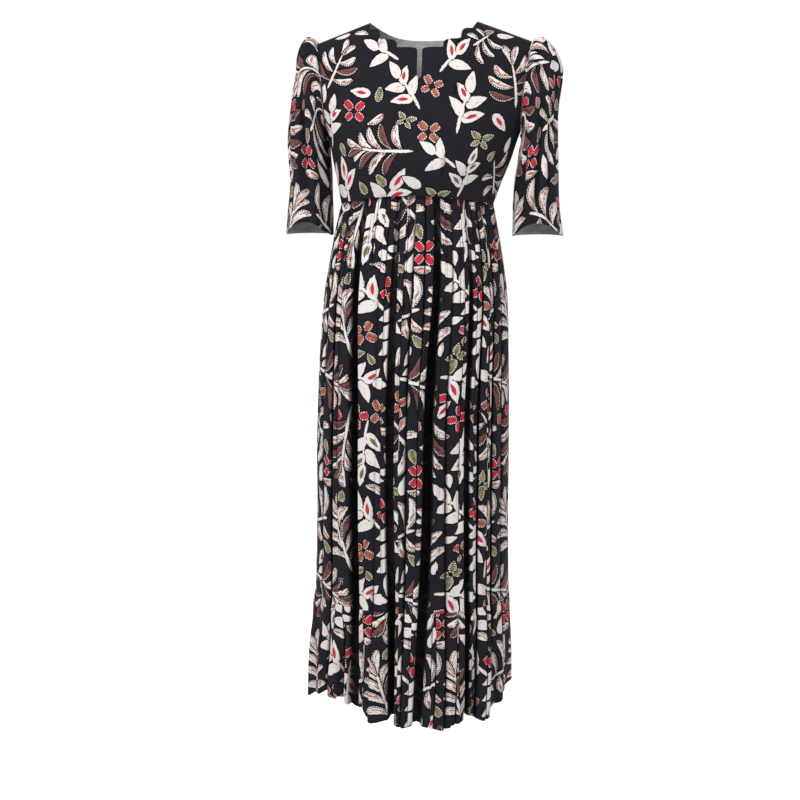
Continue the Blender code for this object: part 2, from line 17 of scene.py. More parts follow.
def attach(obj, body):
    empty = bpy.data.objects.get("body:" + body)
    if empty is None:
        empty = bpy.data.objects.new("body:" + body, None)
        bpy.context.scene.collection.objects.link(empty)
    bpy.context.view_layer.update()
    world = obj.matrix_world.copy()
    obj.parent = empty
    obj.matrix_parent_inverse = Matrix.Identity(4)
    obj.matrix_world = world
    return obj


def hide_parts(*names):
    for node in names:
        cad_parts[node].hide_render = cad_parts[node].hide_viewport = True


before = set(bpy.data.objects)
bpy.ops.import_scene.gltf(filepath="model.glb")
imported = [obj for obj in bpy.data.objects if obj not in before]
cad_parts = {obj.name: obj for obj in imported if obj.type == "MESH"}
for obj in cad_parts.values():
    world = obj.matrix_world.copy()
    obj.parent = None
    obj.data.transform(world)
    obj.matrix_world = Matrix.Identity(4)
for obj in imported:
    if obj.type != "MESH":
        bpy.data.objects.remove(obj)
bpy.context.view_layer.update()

FRONT = -1
BACK = 1

# ---- driving sizes, as in the solids -------------------------------------------------------------------
SEAM_GAP = 0.0003
RIM_LEAN = 0.0002
WALL = 0.0016
NECK_TIP_X = 0.102
NECK_TIP_Z = 0.020
SHOULDER_X = 0.204
SHOULDER_Z = -0.017
SHOULDER_ROUND = 0.050
UNDERARM_Z = -0.190
WAIST_Z = -0.318
WAIST_RISE = {FRONT: 0.017, BACK: 0.002}
TIER_Z = -1.095
HEM_Z = -1.325
SLIT_HALF = 0.0046
SLIT_Z = -0.088
SlitPoint = namedtuple("SlitPoint", "share widen")
SLIT_EDGE = (
    SlitPoint(0.00, 0.00), SlitPoint(0.02, 0.45), SlitPoint(0.06, 0.74), SlitPoint(0.13, 0.90),
    SlitPoint(0.25, 0.96), SlitPoint(0.45, 1.00), SlitPoint(0.72, 1.00),
)
BACK_NECK_Z = -0.006
BUST_X = 0.085
BUST_Z = -0.238
BUST_SPREAD = 0.052
BUST_RISE = 0.009

BodiceRing = namedtuple("BodiceRing", "z half_width front back shift")
BODICE_RINGS = (
    BodiceRing(-0.320, 0.1470, 0.104, 0.088, -0.0130),
    BodiceRing(-0.275, 0.1590, 0.120, 0.092, -0.0085),
    BodiceRing(-0.235, 0.1710, 0.126, 0.097, -0.0045),
    BodiceRing(-0.190, 0.1830, 0.119, 0.103, -0.0015),
    BodiceRing(-0.120, 0.2100, 0.100, 0.104, 0.0),
    BodiceRing(-0.050, 0.2210, 0.082, 0.094, 0.0),
    BodiceRing(0.040, 0.2250, 0.064, 0.070, 0.0),
)
Scallop = namedtuple("Scallop", "near_x far_x low_z high_z")
SCALLOPS = (
    Scallop(SLIT_HALF, 0.0430, -0.0395, -0.0310),
    Scallop(0.0430, 0.0755, -0.0310, -0.0160),
    Scallop(0.0755, 0.0950, -0.0160, 0.0040),
)
SCALLOP_SQUARENESS = 4.2
SCALLOP_STEPS = 11
ArmholePoint = namedtuple("ArmholePoint", "z front_x back_x")
ARMHOLE = (
    ArmholePoint(SHOULDER_Z, SHOULDER_X, SHOULDER_X),
    ArmholePoint(-0.055, 0.1950, 0.1990),
    ArmholePoint(-0.100, 0.1890, 0.1945),
    ArmholePoint(-0.145, 0.1860, 0.1895),
    ArmholePoint(-0.175, 0.1845, 0.1855),
)
BodiceColumn = namedtuple("BodiceColumn", "share turn z crowding bend")
SHOULDER_SHARE = 0.53
SHOULDER_STEPS = 16
ARMHOLE_STEPS = 26
TOP_CROWDING = 1.8
LATE_BEND = 3.0
CROWDING_FALL = 2.4           # over the whole armhole
BEND_FALL = 2.64
ARMHOLE_SPREAD = 1.6
ARMHOLE_ROUND = 0.5
BODICE_ROWS = 62
SEAM_BAND = 0.005

SleeveRing = namedtuple("SleeveRing", "along outer_x outer_z inner_x inner_z front_y back_y front_lift")
SLEEVE_RINGS = (
    SleeveRing(0.00, 0.2040, -0.0170, 0.1840, -0.190, -0.046, 0.044, 0.000),
    SleeveRing(0.06, 0.2160, -0.0160, 0.1850, -0.194, -0.052, 0.050, 0.000),
    SleeveRing(0.13, 0.2330, -0.0260, 0.1850, -0.199, -0.058, 0.056, 0.000),
    SleeveRing(0.22, 0.2480, -0.0500, 0.1840, -0.208, -0.063, 0.061, 0.000),
    SleeveRing(0.34, 0.2540, -0.0920, 0.1825, -0.222, -0.066, 0.064, 0.000),
    SleeveRing(0.50, 0.2560, -0.1600, 0.1800, -0.246, -0.067, 0.064, 0.000),
    SleeveRing(0.68, 0.2610, -0.2400, 0.1770, -0.280, -0.066, 0.062, 0.004),
    SleeveRing(0.85, 0.2640, -0.3150, 0.1740, -0.330, -0.065, 0.060, 0.013),
    SleeveRing(1.00, 0.2670, -0.3790, 0.1730, -0.380, -0.064, 0.060, 0.027),
)
HEAD_PUFF = {1: 0.002, -1: 0.008}
HEAD_PUFF_AT = 0.09
HEAD_PUFF_SPREAD = 0.06
HEM_AWAY = {1: 0.0, -1: 0.008}
Bulge = namedtuple("Bulge", "along out")
OUTER_BULGES = {
    1: (Bulge(0.00, 0.0), Bulge(0.14, 0.001), Bulge(0.28, 0.005), Bulge(0.45, -0.001), Bulge(0.62, -0.004),
        Bulge(0.80, -0.005), Bulge(0.92, -0.002), Bulge(1.00, 0.002)),
    -1: (Bulge(0.00, 0.0), Bulge(0.12, 0.003), Bulge(0.27, -0.005), Bulge(0.40, 0.001), Bulge(0.56, 0.005),
         Bulge(0.76, -0.003), Bulge(0.90, 0.000), Bulge(1.00, 0.002)),
}
SLEEVE_JOIN = 0.30
SEAM_LIFT = 0.65
SEAM_OUT = 0.8
HEAD_HALF_TURN = math.radians(82)
HEAD_GATHER_EDGE = math.radians(20)
FOLD_RISE = 0.18
FOLD_FALL = 0.15
FOLD_REST = 0.35
HEAD_SLOPE = 0.2
SHOULDER_LEAN = 0.3
SleeveFold = namedtuple("SleeveFold", "turn_top turn_hem width depth start end")
SLEEVE_FOLDS = (
    SleeveFold(66, 96, 20, 0.0110, 0.16, 1.00),
    SleeveFold(30, 22, 15, 0.0070, 0.12, 0.80),
    SleeveFold(48, 58, 9, 0.0045, 0.34, 0.86),
    SleeveFold(-36, -40, 18, 0.0080, 0.14, 0.95),
    SleeveFold(-88, -104, 20, 0.0085, 0.20, 1.00),
    SleeveFold(124, 138, 16, 0.0065, 0.40, 1.00),
)
SLEEVE_COLUMNS = 150
SLEEVE_ROWS = 74

SkirtRing = namedtuple("SkirtRing", "z half_width front back shift")
SKIRT_RINGS = (
    SkirtRing(-0.300, 0.1470, 0.104, 0.088, -0.0130),
    SkirtRing(-0.320, 0.1470, 0.104, 0.088, -0.0130),
    SkirtRing(-0.407, 0.1650, 0.123, 0.112, -0.0140),
    SkirtRing(-0.506, 0.1800, 0.139, 0.134, -0.0160),
    SkirtRing(-0.706, 0.1900, 0.153, 0.148, -0.0200),
    SkirtRing(-0.912, 0.1930, 0.160, 0.156, -0.0210),
    SkirtRing(-1.095, 0.1970, 0.166, 0.162, -0.0215),
    SkirtRing(-1.232, 0.2060, 0.178, 0.173, -0.0240),
    SkirtRing(-1.325, 0.2070, 0.184, 0.180, -0.0260),
)
SKIRT_ROWS = 96
ROWS_CROWD = 0.35             # how much closer the skirt's rows lie at its top
TIER_ROWS = 40
PANEL_STEPS = 4               # columns across the cloth between two pleats

# A fold's place is a share of the half width; its width is half the valley; its depths are at the empire
# seam, at mid skirt and at the hem. `lean` says which side laps over the valley: -1 the right-hand cloth,
# 1 the left-hand cloth, 0 neither.
Fold = namedtuple("Fold", "top middle hem width at_seam at_middle at_hem lean")
FOLDS = {FRONT: (
    Fold(-0.910, -0.905, -0.900, 0.011, 0.002, 0.007, 0.008, 1),
    Fold(-0.830, -0.795, -0.770, 0.012, 0.004, 0.011, 0.011, 1),
    Fold(-0.610, -0.530, -0.470, 0.0155, 0.008, 0.036, 0.024, 0),
    Fold(-0.330, -0.300, -0.300, 0.011, 0.003, 0.004, 0.009, -1),
    Fold(-0.157, -0.146, -0.085, 0.0135, 0.005, 0.016, 0.036, 0),
    Fold(0.060, 0.035, 0.020, 0.011, 0.004, 0.010, 0.009, -1),
    Fold(0.330, 0.245, 0.165, 0.0150, 0.008, 0.034, 0.020, 0),
    Fold(0.500, 0.410, 0.410, 0.011, 0.003, 0.007, 0.011, 1),
    Fold(0.680, 0.620, 0.630, 0.0105, 0.004, 0.014, 0.018, 0),
    Fold(0.810, 0.740, 0.725, 0.012, 0.004, 0.012, 0.013, -1),
    Fold(0.905, 0.870, 0.855, 0.011, 0.003, 0.010, 0.011, -1),
    Fold(0.965, 0.950, 0.945, 0.009, 0.002, 0.007, 0.008, -1),
), BACK: (
    Fold(-0.880, -0.890, -0.900, 0.011, 0.002, 0.009, 0.010, 1),
    Fold(-0.720, -0.740, -0.730, 0.0125, 0.005, 0.022, 0.020, 0),
    Fold(-0.520, -0.500, -0.540, 0.012, 0.003, 0.011, 0.012, 1),
    Fold(-0.280, -0.300, -0.270, 0.0145, 0.007, 0.030, 0.026, 0),
    Fold(-0.070, -0.060, -0.040, 0.012, 0.003, 0.010, 0.011, -1),
    Fold(0.150, 0.190, 0.180, 0.0145, 0.007, 0.030, 0.026, 0),
    Fold(0.400, 0.380, 0.400, 0.012, 0.003, 0.009, 0.010, 1),
    Fold(0.580, 0.610, 0.600, 0.0125, 0.005, 0.022, 0.021, 0),
    Fold(0.780, 0.790, 0.800, 0.012, 0.003, 0.011, 0.012, -1),
    Fold(0.910, 0.915, 0.920, 0.010, 0.002, 0.007, 0.008, -1),
)}
FOLD_SHIFT = 0.45
FOLD_GROW = 0.35
FOLD_NARROW = 0.80            # share of its width that a fold has at the seam
FOLD_WIDEN = 0.40
# A tuck is a smaller pleat between two folds: after which fold it comes, how far towards the next one, and
# the heights at which it starts and ends.
Tuck = namedtuple("Tuck", "after share width depth start end lean")
TUCKS = {FRONT: (
    Tuck(-1, 0.34, 0.010, 0.0085, -0.300, -1.03, 1),
    Tuck(-1, 0.68, 0.009, 0.0065, -0.300, -0.74, 1),
    Tuck(0, 0.50, 0.008, 0.005, -0.300, -0.62, 1),
    Tuck(1, 0.35, 0.008, 0.0055, -0.300, -0.86, -1),
    Tuck(1, 0.70, 0.008, 0.006, -0.300, -0.52, 1),
    Tuck(2, 0.22, 0.007, 0.0035, -0.300, -0.43, -1),
    Tuck(2, 0.42, 0.007, 0.0035, -0.300, -0.40, 1),
    Tuck(2, 0.80, 0.008, 0.0045, -0.300, -0.47, -1),
    Tuck(3, 0.50, 0.008, 0.006, -0.300, -1.05, -1),
    Tuck(4, 0.35, 0.009, 0.0065, -0.300, -0.82, 1),
    Tuck(4, 0.68, 0.008, 0.0055, -0.300, -0.60, 1),
    Tuck(5, 0.50, 0.010, 0.0065, -0.300, -1.00, 1),
    Tuck(6, 0.30, 0.009, 0.0055, -0.300, -0.66, -1),
    Tuck(6, 0.66, 0.009, 0.0045, -0.300, -0.50, 1),
    Tuck(7, 0.40, 0.008, 0.0045, -0.300, -0.55, -1),
    Tuck(7, 0.72, 0.008, 0.0055, -0.300, -0.95, 1),
    Tuck(8, 0.52, 0.008, 0.0055, -0.300, -0.98, -1),
    Tuck(9, 0.32, 0.009, 0.0065, -0.300, -0.80, -1),
    Tuck(9, 0.66, 0.010, 0.0085, -0.300, -1.02, -1),
), BACK: (
    Tuck(-1, 0.34, 0.010, 0.0085, -0.300, -1.04, 1),
    Tuck(-1, 0.68, 0.009, 0.0065, -0.300, -0.72, 1),
    Tuck(0, 0.50, 0.009, 0.0055, -0.300, -0.90, 1),
    Tuck(1, 0.35, 0.008, 0.005, -0.300, -0.60, -1),
    Tuck(1, 0.70, 0.009, 0.006, -0.300, -1.02, 1),
    Tuck(2, 0.33, 0.009, 0.005, -0.300, -0.55, -1),
    Tuck(2, 0.66, 0.009, 0.006, -0.300, -0.85, 1),
    Tuck(3, 0.38, 0.009, 0.0055, -0.300, -0.66, 1),
    Tuck(3, 0.70, 0.009, 0.0045, -0.300, -0.50, -1),
    Tuck(4, 0.36, 0.009, 0.006, -0.300, -0.98, 1),
    Tuck(4, 0.68, 0.009, 0.005, -0.300, -0.62, -1),
    Tuck(5, 0.34, 0.009, 0.0055, -0.300, -0.74, 1),
    Tuck(5, 0.67, 0.009, 0.005, -0.300, -0.54, -1),
    Tuck(6, 0.50, 0.009, 0.0055, -0.300, -1.00, -1),
    Tuck(7, 0.50, 0.009, 0.0055, -0.300, -0.80, -1),
    Tuck(8, 0.32, 0.009, 0.0065, -0.300, -0.70, -1),
    Tuck(8, 0.66, 0.010, 0.0085, -0.300, -1.05, -1),
)}
# how far a tuck strays on its way down, as a share of the cloth between two folds
TUCK_SWAY = 0.060
TIER_TUCK_SWAY = 0.130
TUCK_SWAY_TURN = 13.0         # how quickly it strays, in radians per metre
TIER_TUCKS = {FRONT: (
    Tuck(-1, 0.40, 0.010, 0.0075, -1.095, -1.40, -1),
    Tuck(0, 0.50, 0.011, 0.0080, -1.130, -1.40, 1),
    Tuck(1, 0.32, 0.009, 0.0060, -1.095, -1.27, -1),
    Tuck(1, 0.70, 0.012, 0.0095, -1.095, -1.40, 1),
    Tuck(2, 0.28, 0.012, 0.0100, -1.110, -1.40, -1),
    Tuck(2, 0.55, 0.009, 0.0050, -1.095, -1.20, 1),
    Tuck(2, 0.80, 0.011, 0.0085, -1.140, -1.40, -1),
    Tuck(4, 0.34, 0.012, 0.0100, -1.095, -1.40, 1),
    Tuck(4, 0.70, 0.009, 0.0060, -1.095, -1.22, -1),
    Tuck(5, 0.50, 0.010, 0.0085, -1.120, -1.40, 1),
    Tuck(6, 0.33, 0.009, 0.0060, -1.095, -1.24, -1),
    Tuck(6, 0.64, 0.012, 0.0095, -1.125, -1.40, 1),
    Tuck(7, 0.40, 0.011, 0.0090, -1.095, -1.40, 1),
    Tuck(7, 0.72, 0.009, 0.0060, -1.095, -1.26, -1),
    Tuck(8, 0.50, 0.010, 0.0080, -1.110, -1.40, 1),
    Tuck(9, 0.50, 0.009, 0.0070, -1.095, -1.40, -1),
), BACK: (
    Tuck(-1, 0.50, 0.009, 0.0075, -1.095, -1.40, 1),
    Tuck(0, 0.50, 0.011, 0.0085, -1.125, -1.40, -1),
    Tuck(1, 0.33, 0.010, 0.0070, -1.095, -1.26, 1),
    Tuck(1, 0.68, 0.012, 0.0095, -1.095, -1.40, -1),
    Tuck(2, 0.36, 0.011, 0.0090, -1.110, -1.40, 1),
    Tuck(2, 0.68, 0.009, 0.0060, -1.095, -1.23, -1),
    Tuck(3, 0.34, 0.012, 0.0095, -1.095, -1.40, 1),
    Tuck(3, 0.68, 0.010, 0.0070, -1.140, -1.40, -1),
    Tuck(4, 0.34, 0.010, 0.0075, -1.095, -1.27, 1),
    Tuck(4, 0.68, 0.011, 0.0090, -1.120, -1.40, -1),
    Tuck(5, 0.35, 0.009, 0.0060, -1.095, -1.24, 1),
    Tuck(5, 0.68, 0.012, 0.0095, -1.095, -1.40, -1),
    Tuck(6, 0.50, 0.010, 0.0080, -1.130, -1.40, 1),
    Tuck(7, 0.50, 0.011, 0.0090, -1.095, -1.40, -1),
    Tuck(8, 0.50, 0.009, 0.0070, -1.095, -1.40, 1),
)}
TUCK_FADE = 0.07              # length over which a tuck grows or runs out
TUCK_AT_SEAM = 0.45           # share of its depth that it has right at its seam

# The section of a pleat: across is in half widths, down in depths.
SectionPoint = namedtuple("SectionPoint", "across down")
OPEN_SECTION = (
    SectionPoint(-1.00, 0.00), SectionPoint(-0.86, -0.03), SectionPoint(-0.72, 0.00),
    SectionPoint(-0.61, 0.12), SectionPoint(-0.55, 0.42), SectionPoint(-0.57, 0.80),
    SectionPoint(0.00, 1.00),
    SectionPoint(0.57, 0.80), SectionPoint(0.55, 0.42), SectionPoint(0.61, 0.12),
    SectionPoint(0.72, 0.00), SectionPoint(0.86, -0.03), SectionPoint(1.00, 0.00),
)
LAPPED_SECTION = (
    SectionPoint(-1.00, 0.00), SectionPoint(-0.62, -0.06), SectionPoint(-0.22, -0.02),
    SectionPoint(0.02, 0.16), SectionPoint(0.04, 0.38), SectionPoint(-0.12, 0.66),
    SectionPoint(-0.26, 0.96),
    SectionPoint(-0.08, 0.98), SectionPoint(0.14, 0.70), SectionPoint(0.38, 0.42),
    SectionPoint(0.60, 0.20), SectionPoint(0.80, 0.06), SectionPoint(1.00, 0.00),
)
SECTION_MIDDLE = 6            # the point at the bottom of the valley
PLEAT_ROOM = 0.92             # share of the way to the next pleat that two pleats may take
PLEAT_LEAST = 0.12            # width of a pleat that has run out, and depth at which it is at its full width
PLEAT_FULL = 0.22

# Painted shade: the dark of the folds' hollows is painted into the base colour, and it stays under any light.
SHADE_REACH = 0.050           # how far away cloth still shades a hollow
SHADE_MOST = 0.985            # share of its colour that the deepest hollow loses
SHADE_FROM = 0.26             # hollows less deep than this stay bright, and those deeper than FULL are black
SHADE_FULL = 0.72

Gathers = namedtuple("Gathers", "count depth fade drift")
SKIRT_GATHERS = {FRONT: Gathers(24, 0.0024, 0.085, 0.35), BACK: Gathers(20, 0.0024, 0.085, 0.60)}
TIER_GATHERS = {FRONT: Gathers(31, 0.0046, 0.060, 0.50), BACK: Gathers(28, 0.0046, 0.060, 0.25)}
TIER_WAVES = {FRONT: Gathers(10, 0.0150, 0.130, 0.42), BACK: Gathers(9, 0.0150, 0.130, 0.70)}
UNEVEN = 0.45                 # how much the gathers differ in depth, and how quickly that changes
UNEVEN_TURN = 17.0
HEM_DIP = 0.014
HEM_SWAY = 0.6
HEM_SWAY_TURN = 7.0
HEM_SIDE_CALM = 6
HemLevel = namedtuple("HemLevel", "share front back")
HEM_LEVELS = (
    HemLevel(-1.00, 0.010, 0.010),
    HemLevel(-0.75, 0.018, 0.012),
    HemLevel(-0.55, 0.034, 0.010),
    HemLevel(-0.30, 0.030, 0.008),
    HemLevel(-0.08, 0.018, 0.006),
    HemLevel(0.08, 0.013, 0.004),
    HemLevel(0.24, -0.008, 0.006),
    HemLevel(0.34, 0.004, 0.008),
    HemLevel(0.52, 0.000, 0.010),
    HemLevel(0.70, 0.022, 0.018),
    HemLevel(0.82, 0.048, 0.028),
    HemLevel(1.00, 0.058, 0.058),
)
SIDE_CALM = 0.08              # share of the half panel at each side over which gathers fade out, and waves
WAVE_CALM = 0.26
GATHER_RISE = 0.02
GATHER_AT_SEAM = 0.35
GATHER_TURN = 9.0
PANEL_PUFF = 0.07             # how far the cloth between two pleats bows out, as a share of its width
TIER_PUFF = 0.17              # and so near the hem
PUFF_GROW = 0.16              # length of tier over which it grows
PUFF_WIDEST = 0.022           # wider cloth bows out no further than cloth of this width
SOFT_CREASE = 0.0011          # height of the faint long creases of hanging cloth
CREASE_ACROSS = 55.0          # how closely they lie, and how much longer they are than wide
CREASE_LENGTH = 9.0

CLOTH = 0.0009                # thickness of the cloth that shows
HEM_CLOTH = 0.0016            # and of the doubled cloth of a hem, over its last rows
HEM_BAND = 3
STITCH_STEP = 0.0038          # stitches along a hem: spacing, length, half width and height
STITCH_LENGTH = 0.0026
STITCH_HALF = 0.00032
STITCH_RISE = 0.00035

# ---- print ---------------------------------------------------------------------------------------------
# Everything in the print is a leaf: a lens or a stem on the flat cloth, in metres.
Leaf = namedtuple("Leaf", "x y turn half_length half_width bend style seed")
PLAIN, RED_HEART, OLIVE_HEART, FROND, DARK_FROND, RED_PETAL, RUST_PETAL, OLIVE_LEAF, STEM = range(9)
SLOTS = 5                     # leaves that one face of the cloth can show
PRINT_MARGIN = 0.0035         # outline and unevenness beyond a leaf's edge
REPEAT_X = 0.340              # the print's repeat on the flat cloth
REPEAT_Y = 0.420
LEAF_TIP = 0.95               # how pointed a leaf's tip is, and how round its foot
LEAF_FOOT = 0.55
LEAF_FULL_AT = (LEAF_FOOT - LEAF_TIP) / (LEAF_FOOT + LEAF_TIP)
LEAF_FULL = (1 - LEAF_FULL_AT) ** LEAF_TIP * (1 + LEAF_FULL_AT) ** LEAF_FOOT
STEM_SQUARE = 8
STEM_TAPER = 0.30
OUTLINE = 0.0024
EDGE_SOFT = 0.00035
BEAD_STEP = 0.0042
STREAK_SCALES = (95.0, 330.0, 40.0)       # of a leaf's streaks: along it, across it, and by its seed
GRAIN_HEIGHT = 0.00010        # the crepe's pebbled grain and its slubs
SLUB_HEIGHT = 0.00022
LEAF_WOBBLE = 0.0026          # unevenness of a leaf's edge

# the leaves' dark outlines, and the black that the painted shade in the folds darkens towards
LINE_AND_SHADE_COLOR = (0.002, 0.002, 0.003, 1.0)
GROUND_DARK = (0.0085, 0.0080, 0.0120, 1.0)
GROUND_PALE = (0.0175, 0.0165, 0.0230, 1.0)
REVERSE_WASH = (0.53, 0.505, 0.49, 1.0)
REVERSE_SHARE = 0.88          # how much the wash covers the print on the cloth's inner side
THREAD_DARK = (0.018, 0.018, 0.024, 1.0)
THREAD_PALE = (0.060, 0.060, 0.070, 1.0)
CREAM = (0.85, 0.795, 0.765, 1.0)
PINK = (0.70, 0.40, 0.34, 1.0)
RED = (0.56, 0.035, 0.055, 1.0)
DEEP_RED = (0.36, 0.02, 0.03, 1.0)
RUST = (0.46, 0.145, 0.095, 1.0)
DEEP_RUST = (0.26, 0.06, 0.04, 1.0)
MAROON = (0.21, 0.085, 0.08, 1.0)
DEEP_MAROON = (0.10, 0.035, 0.035, 1.0)
OLIVE = (0.36, 0.315, 0.17, 1.0)
DEEP_OLIVE = (0.17, 0.145, 0.07, 1.0)
# by style: fill, streak colour, how much the streaks leave clear, the heart's share, a dotted rim
StyleLook = namedtuple("StyleLook", "fill streak clear heart rim")
STYLE_LOOKS = (
    StyleLook(CREAM, PINK, 0.585, 0.0, 0.0),
    StyleLook(CREAM, PINK, 0.600, 1.0, 0.0),
    StyleLook(CREAM, PINK, 0.600, 1.0, 0.0),
    StyleLook(CREAM, RUST, 0.535, 0.0, 1.0),
    StyleLook(MAROON, DEEP_MAROON, 0.52, 0.0, 1.0),
    StyleLook(RED, DEEP_RED, 0.60, 0.0, 1.0),
    StyleLook(RUST, DEEP_RUST, 0.54, 0.0, 1.0),
    StyleLook(OLIVE, DEEP_OLIVE, 0.50, 0.0, 1.0),
    StyleLook(CREAM, CREAM, 1.0, 0.0, 0.0),
)


# ---- reading tables ------------------------------------------------------------------------------------
def read_rows(rows, at):
    """The row of a table at the value `at` of its first column, on smooth curves through its rows."""
    keys = [row[0] for row in rows]
    direction = 1 if keys[-1] > keys[0] else -1
    at = max(min(at, max(keys)), min(keys))
    index = 0
    while index < len(rows) - 2 and direction * (at - keys[index + 1]) > 0:
        index += 1
    before = rows[max(index - 1, 0)]
    start = rows[index]
    end = rows[index + 1]
    after = rows[min(index + 2, len(rows) - 1)]
    span = end[0] - start[0]
    t = (at - start[0]) / span
    values = [at]
    for column in range(1, len(start)):
        slope_in = (end[column] - before[column]) / (end[0] - before[0]) * span
        slope_out = (after[column] - start[column]) / (after[0] - start[0]) * span
        values.append((2 * t ** 3 - 3 * t ** 2 + 1) * start[column]
                      + (t ** 3 - 2 * t ** 2 + t) * slope_in
                      + (3 * t ** 2 - 2 * t ** 3) * end[column]
                      + (t ** 3 - t ** 2) * slope_out)
    return type(start)(*values)


def smooth_step(t):
    t = max(0.0, min(1.0, t))
    return t * t * (3 - 2 * t)


def spread(count, start=0.0, end=1.0):
    return [start + (end - start) * index / count for index in range(count + 1)]


# ---- bodice --------------------------------------------------------------------------------------------
def seam_height(side, turn):
    return WAIST_Z + WAIST_RISE[side] * math.cos(turn) ** 2


def shoulder_height(x):
    slope = (SHOULDER_Z - NECK_TIP_Z) / (SHOULDER_X - NECK_TIP_X)
    return NECK_TIP_Z + slope * (abs(x) - NECK_TIP_X)


def bodice_point(side, turn, z):
    """A point of the bodice: `turn` runs from 0 at the centre to a quarter turn at the side seam."""
    ring = read_rows(BODICE_RINGS, z)
    x = ring.half_width * math.sin(turn)
    drop = max(0.0, shoulder_height(x) - z) / SHOULDER_ROUND
    crown = math.sqrt(1 - (1 - min(drop, 1)) ** 2)
    reach = (ring.front if side == FRONT else ring.back) * math.cos(turn) * crown
    if side == FRONT:
        off_x = (abs(x) - BUST_X) / BUST_SPREAD
        off_z = (z - BUST_Z) / BUST_SPREAD
        reach += BUST_RISE * math.exp(-off_x ** 2 - off_z ** 2)
    return (x + ring.shift, side * (reach + SEAM_GAP / 2 + RIM_LEAN), z)


def turn_at(x, z):
    return math.asin(min(1.0, x / read_rows(BODICE_RINGS, z).half_width))


def scallop_edge(scallop, steps):
    """Points of one scallop, outwards from the slit's side: a steep rise that rounds to a flat top."""
    points = []
    for step in range(steps):
        angle = math.pi / 2 * step / steps
        across = 1 - math.cos(angle) ** (2 / SCALLOP_SQUARENESS)
        up = math.sin(angle) ** (2 / SCALLOP_SQUARENESS)
        points.append((scallop.near_x + (scallop.far_x - scallop.near_x) * across,
                       scallop.low_z + (scallop.high_z - scallop.low_z) * up))
    return points


def front_neckline():
    """(x, z) from the lower end of the slit to the tip of the shoulder seam."""
    points = []
    for row in SLIT_EDGE:
        points.append((SLIT_HALF * row.widen, SLIT_Z + (SCALLOPS[0].low_z - SLIT_Z) * row.share))
    for scallop in SCALLOPS:
        points += scallop_edge(scallop, SCALLOP_STEPS)
    start_x, start_z = SCALLOPS[-1].far_x, SCALLOPS[-1].high_z
    for share in spread(4)[:-1]:
        points.append((start_x + (NECK_TIP_X - start_x) * share, start_z + (NECK_TIP_Z - start_z) * share))
    return points


def back_neckline():
    """(x, z) from the middle of the back to the tip of the shoulder seam."""
    return [(NECK_TIP_X * share, BACK_NECK_Z + (NECK_TIP_Z - BACK_NECK_Z) * share ** 3)
            for share in spread(26)[:-1]]


def armhole_x(side, z):
    if z < ARMHOLE[-1].z:
        ring = read_rows(BODICE_RINGS, z)
        low = read_rows(ARMHOLE, ARMHOLE[-1].z)
        edge = low.front_x if side == FRONT else low.back_x
        share = (ARMHOLE[-1].z - z) / (ARMHOLE[-1].z - UNDERARM_Z)
        return edge + (ring.half_width - edge) * share ** ARMHOLE_ROUND
    row = read_rows(ARMHOLE, z)
    return row.front_x if side == FRONT else row.back_x


def armhole_z(share):
    """Height on the armhole at a share of the way from the shoulder seam to the underarm."""
    return UNDERARM_Z + (SHOULDER_Z - UNDERARM_Z) * (0.5 + 0.5 * math.cos(math.pi * share))


def bodice_columns(side):
    """Where the columns of half a bodice start and end, from the centre to the side seam."""
    neck = front_neckline() if side == FRONT else back_neckline()
    neck_share = turn_at(NECK_TIP_X, NECK_TIP_Z) / (math.pi / 2)
    columns = []
    for index, (x, z) in enumerate(neck):
        turn = turn_at(x, z)
        crowding = 1 + (TOP_CROWDING - 1) * index / len(neck)
        columns.append(BodiceColumn(turn / (math.pi / 2), turn, z, crowding, 1.0))
    for share in spread(SHOULDER_STEPS)[:-1]:
        x = NECK_TIP_X + (SHOULDER_X - NECK_TIP_X) * share
        z = shoulder_height(x)
        low = neck_share + (SHOULDER_SHARE - neck_share) * share
        columns.append(BodiceColumn(low, turn_at(x, z), z, TOP_CROWDING, LATE_BEND))
    for share in spread(ARMHOLE_STEPS):
        z = armhole_z(share)
        turn = math.pi / 2 if share == 1 else turn_at(armhole_x(side, z), z)
        low = SHOULDER_SHARE + (1 - SHOULDER_SHARE) * share ** ARMHOLE_SPREAD
        crowding = max(1.0, TOP_CROWDING - CROWDING_FALL * share)
        columns.append(BodiceColumn(low, turn, z, crowding, max(1.0, LATE_BEND - BEND_FALL * share)))
    return columns


def bodice_flat(side):
    """Where each (turn, z) of the bodice lies on the flat cloth."""
    turns = np.linspace(0, math.pi / 2, 41)
    heights = np.linspace(WAIST_Z, NECK_TIP_Z + 0.001, 61)
    points = np.array([[bodice_point(side, turn, z) for z in heights] for turn in turns])
    across = np.zeros(points.shape[:2])
    across[1:] = np.linalg.norm(np.diff(points, axis=0), axis=2).cumsum(axis=0)
    up = np.zeros(points.shape[:2])
    up[:, 1:] = np.linalg.norm(np.diff(points, axis=1), axis=2).cumsum(axis=1)

    def read(turn, z):
        column = min(abs(turn) / turns[-1], 1.0) * (len(turns) - 1.001)
        row = min(max((z - heights[0]) / (heights[-1] - heights[0]), 0.0), 1.0) * (len(heights) - 1.001)
        c, r = int(column), int(row)
        a, b = column - c, row - r
        values = []
        for table in (across, up):
            low = table[c, r] * (1 - a) + table[c + 1, r] * a
            high = table[c, r + 1] * (1 - a) + table[c + 1, r + 1] * a
            values.append(low * (1 - b) + high * b)
        return (math.copysign(values[0], turn), values[1] + WAIST_Z)

    return read


